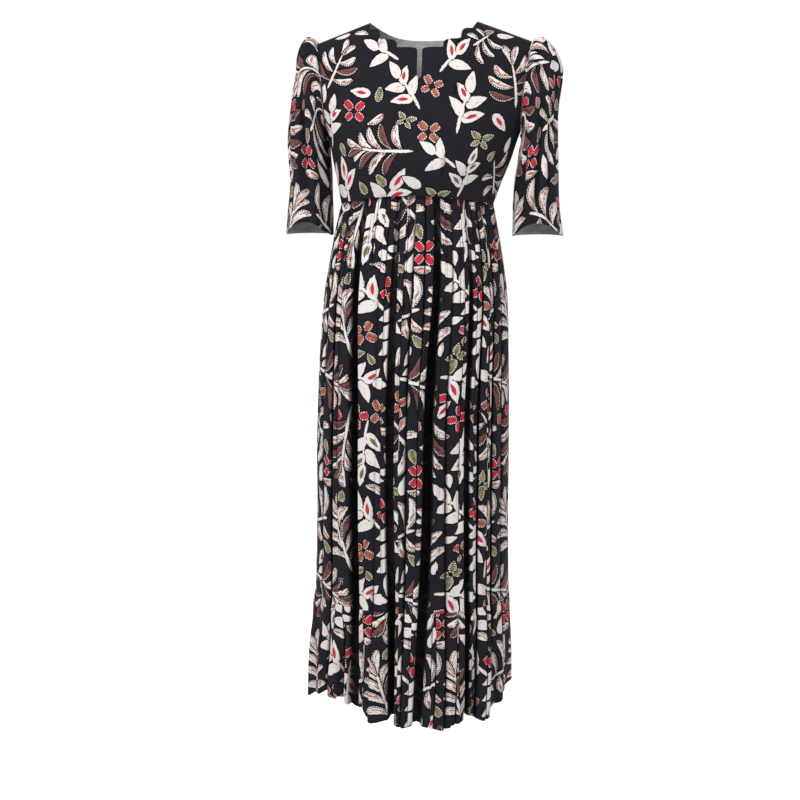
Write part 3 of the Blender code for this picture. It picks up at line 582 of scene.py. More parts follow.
def bodice_grid(side):
    """Points of a whole bodice panel, from the empire seam up, and their places on the flat cloth."""
    half = bodice_columns(side)
    mirrored = [column._replace(share=-column.share, turn=-column.turn) for column in reversed(half[1:])]
    flat_at = bodice_flat(side)
    points, flat = [], []
    for edge in mirrored + half:
        turn_low = math.pi / 2 * edge.share
        z_seam = seam_height(side, turn_low) + SEAM_GAP / 2
        foot = bodice_point(side, turn_low, z_seam)
        z_low = z_seam + SEAM_BAND
        column, laid = [foot], [flat_at(turn_low, z_seam)]
        for fraction in spread(BODICE_ROWS):
            rise = 1 - (1 - fraction) ** edge.crowding
            turn = turn_low + (edge.turn - turn_low) * fraction ** edge.bend
            z = z_low + (edge.z - z_low) * rise
            column.append(bodice_point(side, turn, z))
            laid.append(flat_at(turn, z))
        points.append(column)
        flat.append(laid)
    return np.array(points), np.array(flat)


# ---- sleeves -------------------------------------------------------------------------------------------
def armhole_loop_point(hand, turn):
    """A point of the armhole: `turn` is 0 at the shoulder, a quarter in front, a half at the underarm."""
    side = FRONT if turn >= 0 else BACK
    share = abs(turn) / math.pi
    z = armhole_z(share)
    edge = math.pi / 2 if share > 0.9999 else turn_at(armhole_x(side, z), z)
    x, y, z = bodice_point(side, hand * edge, z)
    return (hand * x, y, z)


def ring_point(ring, turn):
    """A point of a closed ring through its outer, front, inner and back points."""
    middle_x = (ring.outer_x + ring.inner_x) / 2
    middle_z = (ring.outer_z + ring.inner_z) / 2
    half_x = (ring.outer_x - ring.inner_x) / 2
    half_z = (ring.outer_z - ring.inner_z) / 2
    half_y = (ring.front_y - ring.back_y) / 2
    middle_y = (ring.front_y + ring.back_y) / 2
    front_share = max(0.0, math.sin(turn)) ** 2
    return (middle_x + half_x * math.cos(turn),
            middle_y * math.sin(turn) ** 2 + half_y * math.sin(turn),
            middle_z + half_z * math.cos(turn) + ring.front_lift * front_share)


def sleeve_folds(along, turn):
    """How far the sleeve's hanging folds pull its wall in."""
    degrees = math.degrees(turn)
    depth = 0.0
    for fold in SLEEVE_FOLDS:
        centre = fold.turn_top + (fold.turn_hem - fold.turn_top) * along
        off = abs((degrees - centre + 180) % 360 - 180) / fold.width
        if off < 1:
            run = min(1.0, max(0.0, (along - fold.start) / FOLD_RISE))
            run *= min(1.0, max(FOLD_REST, (fold.end - along) / FOLD_FALL))
            depth += fold.depth * (1 - smooth_step(off)) * run
    return depth


HEAD_PLEATS = 11              # small pleats over a sleeve's gathered head
HEAD_PLEAT_DEPTH = 0.0076
HEAD_PLEAT_LEVEL = 0.3        # share of a pleat that lies inside the plain sleeve
HEAD_PLEAT_ROUND = 0.8
HEAD_PLEAT_RISE = 0.02
HEAD_PLEAT_FADE = 0.24        # how far down they reach, how much that differs, and how quickly
HEAD_PLEAT_UNEVEN = 0.45
HEAD_PLEAT_TURN = 5.3
HEAD_PLEAT_DRIFT = 0.35       # how far they stray round the sleeve, and how quickly
HEAD_PLEAT_DRIFT_TURN = 4.0
SLEEVE_CREASE = 0.0036        # height of a sleeve's creases
SLEEVE_CREASE_RISE = 0.15


def head_gathers(hand, along, turn):
    """How far the small pleats at the sleeve's head push its wall out."""
    if abs(turn) > HEAD_HALF_TURN:
        return 0.0
    edge = smooth_step((HEAD_HALF_TURN - abs(turn)) / HEAD_GATHER_EDGE)
    stray = HEAD_PLEAT_DRIFT * math.sin(HEAD_PLEAT_DRIFT_TURN * turn + hand)
    phase = turn / HEAD_HALF_TURN * HEAD_PLEATS / 2 + stray
    wave = abs(math.cos(math.pi * phase)) ** HEAD_PLEAT_ROUND
    length = HEAD_PLEAT_FADE * (1 + HEAD_PLEAT_UNEVEN * math.sin(HEAD_PLEAT_TURN * turn + 2.0 * hand))
    rise = smooth_step(along / HEAD_PLEAT_RISE)
    return HEAD_PLEAT_DEPTH * edge * (wave - HEAD_PLEAT_LEVEL) * rise * math.exp(-(along / length) ** 2)


def sleeve_point(hand, along, turn):
    """A point of a sleeve, mirrored to the wearer's left, before it is set out from the bodice."""
    ring = read_rows(SLEEVE_RINGS, along)
    x, y, z = ring_point(ring, turn)
    keep = max(0.0, 1 - along / SLEEVE_JOIN) ** 2
    if keep > 0:
        seat = armhole_loop_point(hand, turn)
        first = ring_point(SLEEVE_RINGS[0], turn)
        x, y, z = (value + (a - b) * keep for value, a, b in zip((x, y, z), seat, first))
    x += HEM_AWAY[hand] * max(0.0, -math.cos(turn)) * along ** 2
    x += read_rows(OUTER_BULGES[hand], along).out * max(0.0, math.cos(turn))
    puff = math.exp(-((along - HEAD_PUFF_AT) / HEAD_PUFF_SPREAD) ** 2)
    z += HEAD_PUFF[hand] * max(0.0, math.cos(turn)) * puff
    crease = noise.noise(Vector((3.0 * math.cos(turn) + 7 * hand, 3.0 * math.sin(turn), along * 2.2)))
    crease += 0.5 * noise.noise(Vector((8.0 * math.cos(turn), 8.0 * math.sin(turn) + 5 * hand, along * 5)))
    out = head_gathers(hand, along, turn) - sleeve_folds(along, turn)
    out += SLEEVE_CREASE * crease * smooth_step(along / SLEEVE_CREASE_RISE)
    slope = smooth_step(along / HEAD_SLOPE)
    away_x = math.cos(turn) * (slope + SHOULDER_LEAN * (1 - slope))
    away_y = -math.sin(turn)
    away_z = max(0.0, math.cos(turn)) * (1 - slope)
    length = math.sqrt(away_x ** 2 + away_y ** 2 + away_z ** 2) or 1.0
    return (x + out * away_x / length, y + out * away_y / length, z + out * away_z / length)


def armhole_outward(turn):
    """Direction that lifts the sleeve's edge clear of the bodice: up on the shoulder, out below it."""
    up = max(0.0, math.cos(turn / 2)) ** 2
    away = (1 - SEAM_LIFT * up, -SEAM_OUT * math.sin(turn), up)
    length = math.sqrt(sum(value ** 2 for value in away))
    return [value / length for value in away]


def sleeve_grid(hand):
    """Points round a sleeve, from the underarm round the front, each column from armhole to hem."""
    clearance = WALL + 3 * SEAM_GAP
    points = []
    for turn in spread(SLEEVE_COLUMNS, -math.pi, math.pi)[:-1]:
        away = armhole_outward(turn)
        column = []
        for share in spread(SLEEVE_ROWS):
            along = share ** 1.25
            x, y, z = sleeve_point(hand, along, turn)
            lift = clearance * max(0.0, 1 - along / SLEEVE_JOIN)
            column.append((hand * (x + away[0] * lift), y + away[1] * lift, z + away[2] * lift))
        points.append(column)
    points = np.array(points)
    ring = np.linalg.norm(np.roll(points, -1, axis=0) - points, axis=2)
    across = np.zeros((len(points) + 1, points.shape[1]))
    across[1:] = ring.cumsum(axis=0)
    across -= across[len(points) // 2]
    up = np.linalg.norm(np.diff(points, axis=1), axis=2)[:, ::-1].cumsum(axis=1)[:, ::-1]
    up = np.concatenate([up, np.zeros((len(points), 1))], axis=1)
    flat = np.stack([across * hand, np.concatenate([up, up[:1]])], axis=2)
    shade = np.zeros(points.shape[:2])
    for row in range(points.shape[1]):
        middle = (points[:, row].max(axis=0) + points[:, row].min(axis=0)) / 2
        shade[:, row] = hollow_shade(points[:, row], points[:, row] - middle, True)
    return points, flat, shade


# ---- skirt and lower tier ------------------------------------------------------------------------------
def fold_place(fold, down):
    """Place of a fold as a share of the half width, at a share `down` of the whole skirt."""
    if down < 0.5:
        return fold.top + (fold.middle - fold.top) * smooth_step(down / FOLD_SHIFT)
    return fold.middle + (fold.hem - fold.middle) * smooth_step((down - 0.5) / 0.5)


def fold_depth(fold, down):
    if down < 0.5:
        return fold.at_seam + (fold.at_middle - fold.at_seam) * smooth_step(down / FOLD_GROW)
    return fold.at_middle + (fold.at_hem - fold.at_middle) * smooth_step((down - 0.5) / 0.5)


def tuck_depth(tuck, z):
    rise = TUCK_AT_SEAM + (1 - TUCK_AT_SEAM) * smooth_step((tuck.start - z) / TUCK_FADE)
    if tuck.start > TIER_Z:
        rise *= smooth_step((z - TIER_Z) / TUCK_FADE)
    else:
        rise = smooth_step((tuck.start - z) / TUCK_FADE)
    return tuck.depth * rise * smooth_step((z - tuck.end) / TUCK_FADE)


Pleat = namedtuple("Pleat", "turn half depth lean")


def pleats_at(side, z, tucks):
    """The pleats that cross one height, in order: folds first, then tucks on the cloth between them."""
    ring = read_rows(SKIRT_RINGS, z)
    reach = ring.front if side == FRONT else ring.back
    down = (WAIST_Z - z) / (WAIST_Z - HEM_Z)

    def half_turn(turn, width, depth):
        radius = math.hypot(ring.half_width * math.cos(turn), reach * math.sin(turn))
        return width / radius * max(PLEAT_LEAST, smooth_step(depth / (PLEAT_FULL * width)))

    folds = []
    for fold in FOLDS[side]:
        turn = math.asin(fold_place(fold, down))
        width = fold.width * (FOLD_NARROW + FOLD_WIDEN * smooth_step(down / FOLD_SHIFT))
        depth = fold_depth(fold, down)
        folds.append(Pleat(turn, half_turn(turn, width, depth), depth, fold.lean))
    folds = share_room(folds, -math.pi / 2, math.pi / 2)
    edges = [-math.pi / 2] + [pleat.turn + pleat.half for pleat in folds]
    nexts = [pleat.turn - pleat.half for pleat in folds] + [math.pi / 2]
    pleats = []
    for index, (start, end) in enumerate(zip(edges, nexts)):
        if index:
            pleats.append(folds[index - 1])
        between = []
        for tuck in tucks:
            if tuck.after == index - 1:
                sway = TUCK_SWAY if tuck.start > TIER_Z else TIER_TUCK_SWAY
                stray = sway * math.sin(TUCK_SWAY_TURN * (tuck.start - z) + 9 * tuck.after + 5 * tuck.share)
                turn = start + (end - start) * (tuck.share + stray)
                depth = tuck_depth(tuck, z)
                between.append(Pleat(turn, half_turn(turn, tuck.width, depth), depth, tuck.lean))
        pleats += share_room(between, start, end)
    return pleats


def share_room(pleats, start, end):
    """Narrows pleats that would run into each other or past the ends."""
    turns = [start] + [pleat.turn for pleat in pleats] + [end]
    halves = [0.0] + [pleat.half for pleat in pleats] + [0.0]
    fitted = []
    for index, pleat in enumerate(pleats, 1):
        scale = min(1.0, PLEAT_ROOM * (pleat.turn - turns[index - 1]) / (pleat.half + halves[index - 1]),
                    PLEAT_ROOM * (turns[index + 1] - pleat.turn) / (pleat.half + halves[index + 1]))
        fitted.append(pleat._replace(half=pleat.half * scale))
    return fitted


def ripple(gathers, share):
    """A row of rounded gathers of uneven width, between 0 and 1, at a share of the panel."""
    phase = share * gathers.count + gathers.drift * math.sin(share * GATHER_TURN + gathers.count)
    size = 1 - UNEVEN * (0.5 + 0.5 * math.sin(share * UNEVEN_TURN + 3 * gathers.count))
    return 0.5 - 0.5 * math.cos(2 * math.pi * phase) * size


def skirt_point(side, turn, z, inward):
    """A point of the skirt or tier, at a turn from -90 to 90 degrees, pulled in by `inward`."""
    ring = read_rows(SKIRT_RINGS, z)
    reach = ring.front if side == FRONT else ring.back
    share = turn / (math.pi / 2)
    out_x = math.sin(turn) / ring.half_width
    out_y = math.cos(turn) / reach
    length = math.hypot(out_x, out_y)
    out_x /= length
    out_y /= length
    calm = smooth_step((1 - abs(share)) / SIDE_CALM)
    out = -inward
    panel_share = (share + 1) / 2
    below_waist = max(0.0, WAIST_Z - z)
    gathers = SKIRT_GATHERS[side]
    rise = GATHER_AT_SEAM + (1 - GATHER_AT_SEAM) * smooth_step(below_waist / GATHER_RISE)
    out += gathers.depth * ripple(gathers, panel_share) * rise * math.exp(-(below_waist / gathers.fade) ** 2)
    below_tier = TIER_Z - z
    if below_tier > 0:
        gathers = TIER_GATHERS[side]
        fade = math.exp(-(below_tier / gathers.fade) ** 2) * smooth_step(below_tier / GATHER_RISE)
        out += gathers.depth * ripple(gathers, panel_share) * fade
        waves = TIER_WAVES[side]
        still = smooth_step((1 - abs(share)) / WAVE_CALM)
        out += waves.depth * (ripple(waves, panel_share) - 0.5) * smooth_step(below_tier / waves.fade) * still
    across = share * CREASE_ACROSS / 2
    crease = noise.noise(Vector((across, 11.0 * side, z * CREASE_LENGTH)))
    out += SOFT_CREASE * crease * smooth_step(below_waist / 0.03)
    out *= calm
    return (ring.shift + ring.half_width * math.sin(turn) + out * out_x,
            side * (reach * math.cos(turn) + SEAM_GAP / 2 + out * out_y), z)


def section_of(lean):
    if lean == 0:
        return OPEN_SECTION
    if lean > 0:
        return LAPPED_SECTION
    return tuple(SectionPoint(-point.across, point.down) for point in reversed(LAPPED_SECTION))


def skirt_row(side, z, pleats):
    """Turns and pulls of one row of columns across a panel."""
    ring = read_rows(SKIRT_RINGS, z)
    reach = ring.front if side == FRONT else ring.back
    row = []
    right = -math.pi / 2
    for pleat in pleats:
        centre, half = pleat.turn, pleat.half
        radius = math.hypot(ring.half_width * math.cos(centre), reach * math.sin(centre))
        overhang = smooth_step(pleat.depth / (0.9 * half * radius))
        for t in spread(PANEL_STEPS)[:-1]:
            row.append((right + (centre - half - right) * t, t, (centre - half - right) * radius))
        points = section_of(pleat.lean)
        for step, point in enumerate(points):
            even = -1 + 2 * step / (len(points) - 1)
            across = even + (point.across - even) * overhang
            bottom = math.cos(even * math.pi / 2) ** 2
            down = bottom + (point.down - bottom) * overhang
            row.append((centre + half * across, -pleat.depth * down, None))
        row.pop()
        right = centre + half
    for t in spread(PANEL_STEPS):
        row.append((right + (math.pi / 2 - right) * t, t, (math.pi / 2 - right) * reach))
    return row


def hollow_shade(points, away, closed):
    """How much of the light the cloth beside each point takes, from 0 in the open to 1, along one row."""
    count = len(points)
    away = away / np.maximum(np.linalg.norm(away, axis=1, keepdims=True), 1e-9)
    apart = points[None] - points[:, None]
    length = np.linalg.norm(apart, axis=2)
    rise = np.einsum("ijk,ik->ij", apart, away) / np.maximum(length, 1e-6)
    order = np.arange(count)[None] - np.arange(count)[:, None]
    if closed:
        order = (order + count // 2) % count - count // 2
    near = (length < SHADE_REACH) & (length > 1e-5)
    left = np.where(near & (order < 0), rise, 0.0).max(axis=1)
    right = np.where(near & (order > 0), rise, 0.0).max(axis=1)
    return (left + right) / 2


def panel_grid(side, heights_of, tucks):
    """Points of a pleated panel and their places on the flat cloth. heights_of gives a column's heights."""
    count = len(heights_of(0.0))
    top_row = skirt_row(side, heights_of(0.0)[0], pleats_at(side, heights_of(0.0)[0], tucks))
    shares = [turn / (math.pi / 2) for turn, _, _ in top_row]
    heights = np.array([heights_of(share) for share in shares])
    points = np.zeros((len(shares), count, 3))
    shade = np.zeros((len(shares), count))
    for row in range(count):
        level = float(heights[:, row].mean())
        spans = skirt_row(side, level, pleats_at(side, level, tucks))
        puff = PANEL_PUFF + (TIER_PUFF - PANEL_PUFF) * smooth_step((TIER_Z - level) / PUFF_GROW)
        for column, (turn, pull, width) in enumerate(spans):
            if width is None:
                inward = -pull
            else:
                inward = -puff * min(width, PUFF_WIDEST) * (1 - (2 * pull - 1) ** 2)
            points[column, row] = skirt_point(side, turn, float(heights[column, row]), inward)
        turns = np.array([turn for turn, _, _ in spans])
        ring = read_rows(SKIRT_RINGS, level)
        reach = ring.front if side == FRONT else ring.back
        away = np.stack([np.sin(turns) / ring.half_width, side * np.cos(turns) / reach, 0 * turns], axis=1)
        shade[:, row] = hollow_shade(points[:, row], away, False)
    pleat_count = len(FOLDS[side]) + len(tucks)
    stride = PANEL_STEPS + len(OPEN_SECTION) - 1
    step = np.linalg.norm(np.diff(points, axis=0), axis=2)
    along = np.zeros((len(shares), count))
    along[1:] = step.cumsum(axis=0)
    panel = np.zeros(len(shares) - 1, int)
    anchors = []
    for index in range(pleat_count + 1):
        start = index * stride
        anchors.append(start + PANEL_STEPS // 2)
        valley = start + PANEL_STEPS + SECTION_MIDDLE
        if index < pleat_count:
            panel[valley:] = index + 1
    middle = count // 2
    flat_left = np.zeros((len(shares) - 1, count))
    flat_right = np.zeros((len(shares) - 1, count))
    for column in range(len(shares) - 1):
        anchor = anchors[panel[column]]
        base = along[anchor, middle] - along[len(shares) // 2, middle]
        flat_left[column] = base + along[column] - along[anchor]
        flat_right[column] = base + along[column + 1] - along[anchor]
    return points, flat_left, flat_right, shade


def hem_height(side, share):
    waves = TIER_WAVES[side]
    wave = ripple(waves, (share + 1) / 2) - 0.5
    level = read_rows(HEM_LEVELS, share)
    lift = level.front if side == FRONT else level.back
    sway = HEM_SWAY * math.sin(share * HEM_SWAY_TURN + side)
    return HEM_Z + lift + HEM_DIP * (sway - wave) * (1 - abs(share) ** HEM_SIDE_CALM)


def skirt_heights(side):
    def heights(share):
        top = seam_height(side, math.pi / 2 * share) - SEAM_GAP / 2
        low = TIER_Z + SEAM_GAP / 2
        return [top + (low - top) * (ROWS_CROWD * t * t + (1 - ROWS_CROWD) * t) for t in spread(SKIRT_ROWS)]
    return heights


def tier_heights(side):
    def heights(share):
        top = TIER_Z - SEAM_GAP / 2
        low = hem_height(side, share)
        return [top + (low - top) * t for t in spread(TIER_ROWS)]
    return heights


# ---- the print's motifs --------------------------------------------------------------------------------
def leaf(x, y, degrees, length, width, style, bend=0.0):
    """A leaf from its foot at (x, y), pointing `degrees` clockwise from straight up."""
    turn = math.radians(degrees)
    seed = (x * 37.1 + y * 91.7 + degrees * 0.013) % 1.0
    middle_x = x + math.sin(turn) * length / 2
    middle_y = y + math.cos(turn) * length / 2
    if style in (FROND, DARK_FROND):          # a frond is blunt at its far end
        turn += math.pi
        bend = -bend
    return Leaf(middle_x, middle_y, turn, length / 2, width / 2, bend, style, seed)


def sprig(styles, pairs):
    """A stem with pairs of pointed leaves and one at its tip."""
    leaves = []
    for index in range(pairs):
        y = 0.004 + 0.031 * index
        size = 1.0 - 0.08 * index
        leaves.append(leaf(0.000, y, -56 + 6 * index, 0.050 * size, 0.0225, styles[2 * index % len(styles)],
                           0.0030))
        leaves.append(leaf(0.002, y + 0.010, 52 - 6 * index, 0.047 * size, 0.0215,
                           styles[(2 * index + 1) % len(styles)], -0.0030))
    leaves.append(leaf(0.002, 0.031 * pairs + 0.002, 8, 0.045, 0.0210, styles[-1], 0.002))
    leaves.append(leaf(0.0, -0.024, 3, 0.031 * pairs + 0.034, 0.0056, STEM, 0.003))
    return leaves


def fern(count, darks, curl):
    """A spine with long curved fronds to both sides; `curl` is how far they bow."""
    leaves = []
    for index in range(count):
        y = 0.002 + 0.0225 * index
        size = 0.78 + 0.28 * math.sin((index + 0.9) / count * math.pi)
        for hand in (-1, 1):
            style = DARK_FROND if hand * (index + 1) in darks else FROND
            leaves.append(leaf(0.001 * hand, y + 0.003 * hand, hand * (66 - 9 * index), 0.062 * size, 0.0165,
                               style, -hand * curl))
    top = 0.002 + 0.0225 * count
    leaves.append(leaf(0.001, top, -16, 0.050, 0.0160, FROND, 0.004))
    leaves.append(leaf(0.004, top, 26, 0.044, 0.0150, DARK_FROND if 9 in darks else FROND, -0.004))
    leaves.append(leaf(0.0, -0.024, 1, 0.0225 * count + 0.030, 0.0056, STEM, 0.002))
    return leaves


def sweep(count, darks):
    """Long fronds that all sweep to one side of a short spine."""
    leaves = []
    for index in range(count):
        y = 0.017 * index
        style = DARK_FROND if index in darks else FROND
        leaves.append(leaf(0.002, y, 118 - 20 * index, 0.068 - 0.003 * index, 0.0165, style, 0.011))
    leaves.append(leaf(-0.003, 0.004, -112, 0.042, 0.0150, FROND, 0.006))
    leaves.append(leaf(-0.003, 0.026, -84, 0.040, 0.0150, FROND, 0.006))
    leaves.append(leaf(-0.001, -0.020, 0, 0.017 * count + 0.022, 0.0056, STEM, 0.002))
    return leaves


def petals(style):
    """Four rounded petals, two by two."""
    return [leaf(*petal, style) for petal in (
        (0.0042, 0.0034, 48, 0.0205, 0.0160), (-0.0046, 0.0040, -50, 0.0215, 0.0170),
        (0.0044, -0.0042, 128, 0.0200, 0.0155), (-0.0042, -0.0044, -134, 0.0185, 0.0150))]


def butterfly():
    """Two larger and two smaller olive leaves about one point."""
    return [leaf(*wing, OLIVE_LEAF) for wing in (
        (0.0025, 0.002, 60, 0.0310, 0.0165), (-0.0025, 0.002, -62, 0.0300, 0.0165),
        (0.0025, -0.003, 122, 0.0250, 0.0145), (-0.0025, -0.003, -124, 0.0240, 0.0145))]


MOTIFS = {
    "long_sprig": sprig((PLAIN, RED_HEART, PLAIN, PLAIN), 3),
    "sprig": sprig((RED_HEART, PLAIN, PLAIN), 2),
    "olive_sprig": sprig((OLIVE_HEART, PLAIN, PLAIN, OLIVE_HEART), 2),
    "twig": sprig((PLAIN, RED_HEART), 1),
    "plain_twig": sprig((PLAIN, PLAIN), 1),
    "fern": fern(4, (1, -2, 3, 9), 0.009),
    "pale_fern": fern(4, (-3,), 0.010),
    "short_fern": fern(3, (2, -1), -0.008),
    "sweep": sweep(4, (2,)),
    "pale_sweep": sweep(3, ()),
    "red_petals": petals(RED_PETAL),
    "rust_petals": petals(RUST_PETAL),
    "butterfly": butterfly(),
    "olive_leaf": [leaf(0.0, -0.015, 0, 0.031, 0.0170, OLIVE_LEAF)],
    "leaf": [leaf(0.0, -0.022, 0, 0.044, 0.0200, PLAIN)],
    "red_leaf": [leaf(0.0, -0.023, 0, 0.046, 0.0205, RED_HEART)],
    "frond": [leaf(0.0, -0.020, 0, 0.040, 0.0155, FROND, 0.003)],
    "small_leaf": [leaf(0.0, -0.014, 0, 0.028, 0.0140, PLAIN)],
    "red_petal": [leaf(0.0, -0.010, 0, 0.021, 0.0165, RED_PETAL)],
    "rust_petal": [leaf(0.0, -0.010, 0, 0.021, 0.0165, RUST_PETAL)],
    "small_olive": [leaf(0.0, -0.012, 0, 0.024, 0.0140, OLIVE_LEAF)],
}
Placed = namedtuple("Placed", "motif x y degrees flip size")
# The repeat is filled with these in turn, each where it lies closest to its neighbours without touching.
FILL_ORDER = (
    "fern", "pale_fern", "sweep", "long_sprig", "fern", "long_sprig", "pale_sweep", "sprig", "olive_sprig",
    "short_fern", "sprig", "red_petals", "rust_petals", "butterfly", "red_petals", "rust_petals", "butterfly",
    "twig", "plain_twig", "red_petals", "twig", "olive_leaf", "plain_twig", "red_leaf", "leaf", "rust_petals",
    "frond", "leaf", "red_leaf", "olive_leaf", "frond", "leaf", "small_olive", "red_petal", "small_leaf",
    "rust_petal", "small_leaf", "small_olive", "small_leaf", "red_petal", "small_leaf", "rust_petal", "frond",
    "small_leaf", "small_olive", "small_leaf", "red_petal", "small_leaf",
)
FILL_SEED = 11
FILL_TRIES = {True: 260, False: 420}      # for motifs of several leaves and for lone leaves
FILL_CLEAR = 0.0040           # ground left between two motifs
FILL_BEST_OF = 7
DISC_PLACES = (-0.85, -0.5, 0.0, 0.5, 0.85)


# The front bodice's motifs are given one by one. Several stand where the photo has a motif of the same kind.
BODICE_FRONT_PRINT = [Placed(*row) for row in (
    ("short_fern", -0.176, -0.074, 28, 1, 0.74),
    ("plain_twig", -0.056, -0.034, -62, 1, 0.80),
    ("red_leaf", -0.112, -0.098, -80, 1, 0.92),
    ("olive_leaf", -0.074, -0.104, 8, 1, 0.95),
    ("sprig", -0.008, -0.122, -36, 1, 0.84),
    ("butterfly", -0.022, -0.158, 24, 1, 0.68),
    ("red_petals", -0.124, -0.134, 4, 1, 1.0),
    ("rust_petals", 0.024, -0.094, 20, 1, 0.84),
    ("twig", 0.052, -0.052, 44, -1, 0.84),
    ("frond", -0.080, -0.152, 62, 1, 0.90),
    ("sprig", -0.196, -0.186, 14, 1, 0.84),
    ("olive_leaf", -0.156, -0.210, 150, 1, 0.95),
    ("fern", -0.024, -0.214, -84, -1, 0.86),
    ("rust_petals", 0.022, -0.180, 4, 1, 0.92),
    ("plain_twig", 0.060, -0.234, -62, 1, 0.82),
    ("sprig", 0.080, -0.158, 16, -1, 0.92),
    ("red_leaf", 0.158, -0.158, 136, 1, 1.0),
    ("butterfly", 0.122, -0.192, 12, 1, 0.86),
    ("short_fern", 0.184, -0.108, -12, 1, 0.86),
    ("pale_sweep", 0.108, -0.006, 50, 1, 0.60),
    ("olive_sprig", 0.090, -0.284, 14, 1, 0.76),
    ("butterfly", 0.046, -0.300, 10, 1, 0.82),
    ("sweep", 0.174, -0.284, -12, 1, 0.78),
    ("olive_leaf", -0.060, -0.268, -40, 1, 1.0),
    ("olive_leaf", -0.098, -0.284, -34, 1, 1.0),
    ("twig", -0.142, -0.304, -20, 1, 1.10),
    ("twig", -0.054, -0.318, 22, 1, 1.04),
    ("leaf", -0.002, -0.272, -60, 1, 0.95),
    ("leaf", -0.192, -0.256, 6, 1, 1.1),
    ("red_leaf", 0.098, -0.318, 72, 1, 0.90),
    ("leaf", -0.196, -0.098, 16, 1, 0.85),
    ("small_leaf", 0.192, -0.200, 10, 1, 1.1),
    ("small_olive", 0.152, -0.222, 40, 1, 1.0),
    ("frond", -0.116, 0.018, -70, 1, 0.85),
    ("leaf", -0.160, 0.018, -104, 1, 0.8),
    ("leaf", 0.164, 0.014, 84, 1, 0.85),
    ("small_olive", 0.132, 0.022, 60, 1, 1.0),
)]


def place_motif(placed):
    turn = math.radians(placed.degrees)
    size = placed.size
    leaves = []
    for item in MOTIFS[placed.motif]:
        x, y = item.x * placed.flip * size, item.y * size
        leaves.append(Leaf(placed.x + x * math.cos(turn) + y * math.sin(turn),
                           placed.y - x * math.sin(turn) + y * math.cos(turn),
                           item.turn * placed.flip + turn, item.half_length * size, item.half_width * size,
                           item.bend * placed.flip * size, item.style,
                           (item.seed + placed.x * 13 + placed.y * 29) % 1.0))
    return leaves


def leaf_discs(leaves):
    """Discs that cover the leaves: rows of x, y and radius."""
    discs = []
    for item in leaves:
        for t in DISC_PLACES:
            side = item.bend * (1 - t * t)
            along = t * item.half_length
            full = 1.0 if item.style == STEM else (1 - t) ** LEAF_TIP * (1 + t) ** LEAF_FOOT / LEAF_FULL
            discs.append((item.x + along * math.sin(item.turn) + side * math.cos(item.turn),
                          item.y + along * math.cos(item.turn) - side * math.sin(item.turn),
                          item.half_width * full))
    return np.array(discs)


def nearest_gap(discs, taken):
    """Smallest gap between two sets of discs, over the seams of the repeat."""
    away = discs[:, None, :2] - taken[None, :, :2]
    away -= np.round(away / (REPEAT_X, REPEAT_Y)) * (REPEAT_X, REPEAT_Y)
    return (np.linalg.norm(away, axis=2) - discs[:, None, 2] - taken[None, :, 2]).min()


def fill_repeat():
    """Leaves of one repeat of the print, packed without touching."""
    draw = random.Random(FILL_SEED)
    leaves = []
    taken = np.array([(1e3, 1e3, 0.0)])
    for name in FILL_ORDER:
        best = None
        found = 0
        for _ in range(FILL_TRIES[len(MOTIFS[name]) > 1]):
            placed = Placed(name, draw.uniform(0, REPEAT_X), draw.uniform(0, REPEAT_Y),
                            draw.uniform(-180, 180), draw.choice((-1, 1)), 1.0)
            laid = place_motif(placed)
            discs = leaf_discs(laid)
            gap = nearest_gap(discs, taken)
            if gap < FILL_CLEAR:
                continue
            found += 1
            if best is None or gap < best[0]:
                best = (gap, laid, discs)
            if found == FILL_BEST_OF:
                break
        if best:
            leaves += best[1]
            taken = np.concatenate([taken, best[2]])
    return leaves


def print_over(low, high, offset):
    """The leaves of the repeating print over a stretch of flat cloth."""
    leaves = []
    margin = 0.05
    first = [math.floor((low[axis] - margin - offset[axis]) / size) - 1
             for axis, size in enumerate((REPEAT_X, REPEAT_Y))]
    last = [math.ceil((high[axis] + margin - offset[axis]) / size) + 1
            for axis, size in enumerate((REPEAT_X, REPEAT_Y))]
    for tile_x in range(first[0], last[0]):
        for tile_y in range(first[1], last[1]):
            for item in REPEAT:
                x = item.x + tile_x * REPEAT_X + offset[0]
                y = item.y + tile_y * REPEAT_Y + offset[1]
                if low[0] - margin < x < high[0] + margin and low[1] - margin < y < high[1] + margin:
                    leaves.append(item._replace(x=x, y=y))
    return leaves


def leaf_distance(item, x, y):
    """Distance from points of the flat cloth to a leaf's edge, negative inside, as the material draws it."""
    dx, dy = x - item.x, y - item.y
    along = dx * math.sin(item.turn) + dy * math.cos(item.turn)
    t = np.clip(along / item.half_length, -1, 1)
    side = dx * math.cos(item.turn) - dy * math.sin(item.turn) - item.bend * (1 - t * t)
    if item.style == STEM:
        outline = (1 - t ** STEM_SQUARE) * (1 - STEM_TAPER * t)
    elif item.style in (RED_PETAL, RUST_PETAL):
        outline = np.sqrt(1 - t ** 4)
    else:
        outline = (1 - t) ** LEAF_TIP * (1 + t) ** LEAF_FOOT / LEAF_FULL
    beyond = np.maximum(np.abs(along) - item.half_length, 0)
    return np.hypot(beyond, side) - item.half_width * outline


def rank_in_groups(keys):
    """Place of each row within its run of equal keys; the keys are sorted."""
    starts = np.concatenate([[0], np.nonzero(np.diff(keys))[0] + 1])
    lengths = np.diff(np.concatenate([starts, [len(keys)]]))
    return np.arange(len(keys)) - np.repeat(starts, lengths)


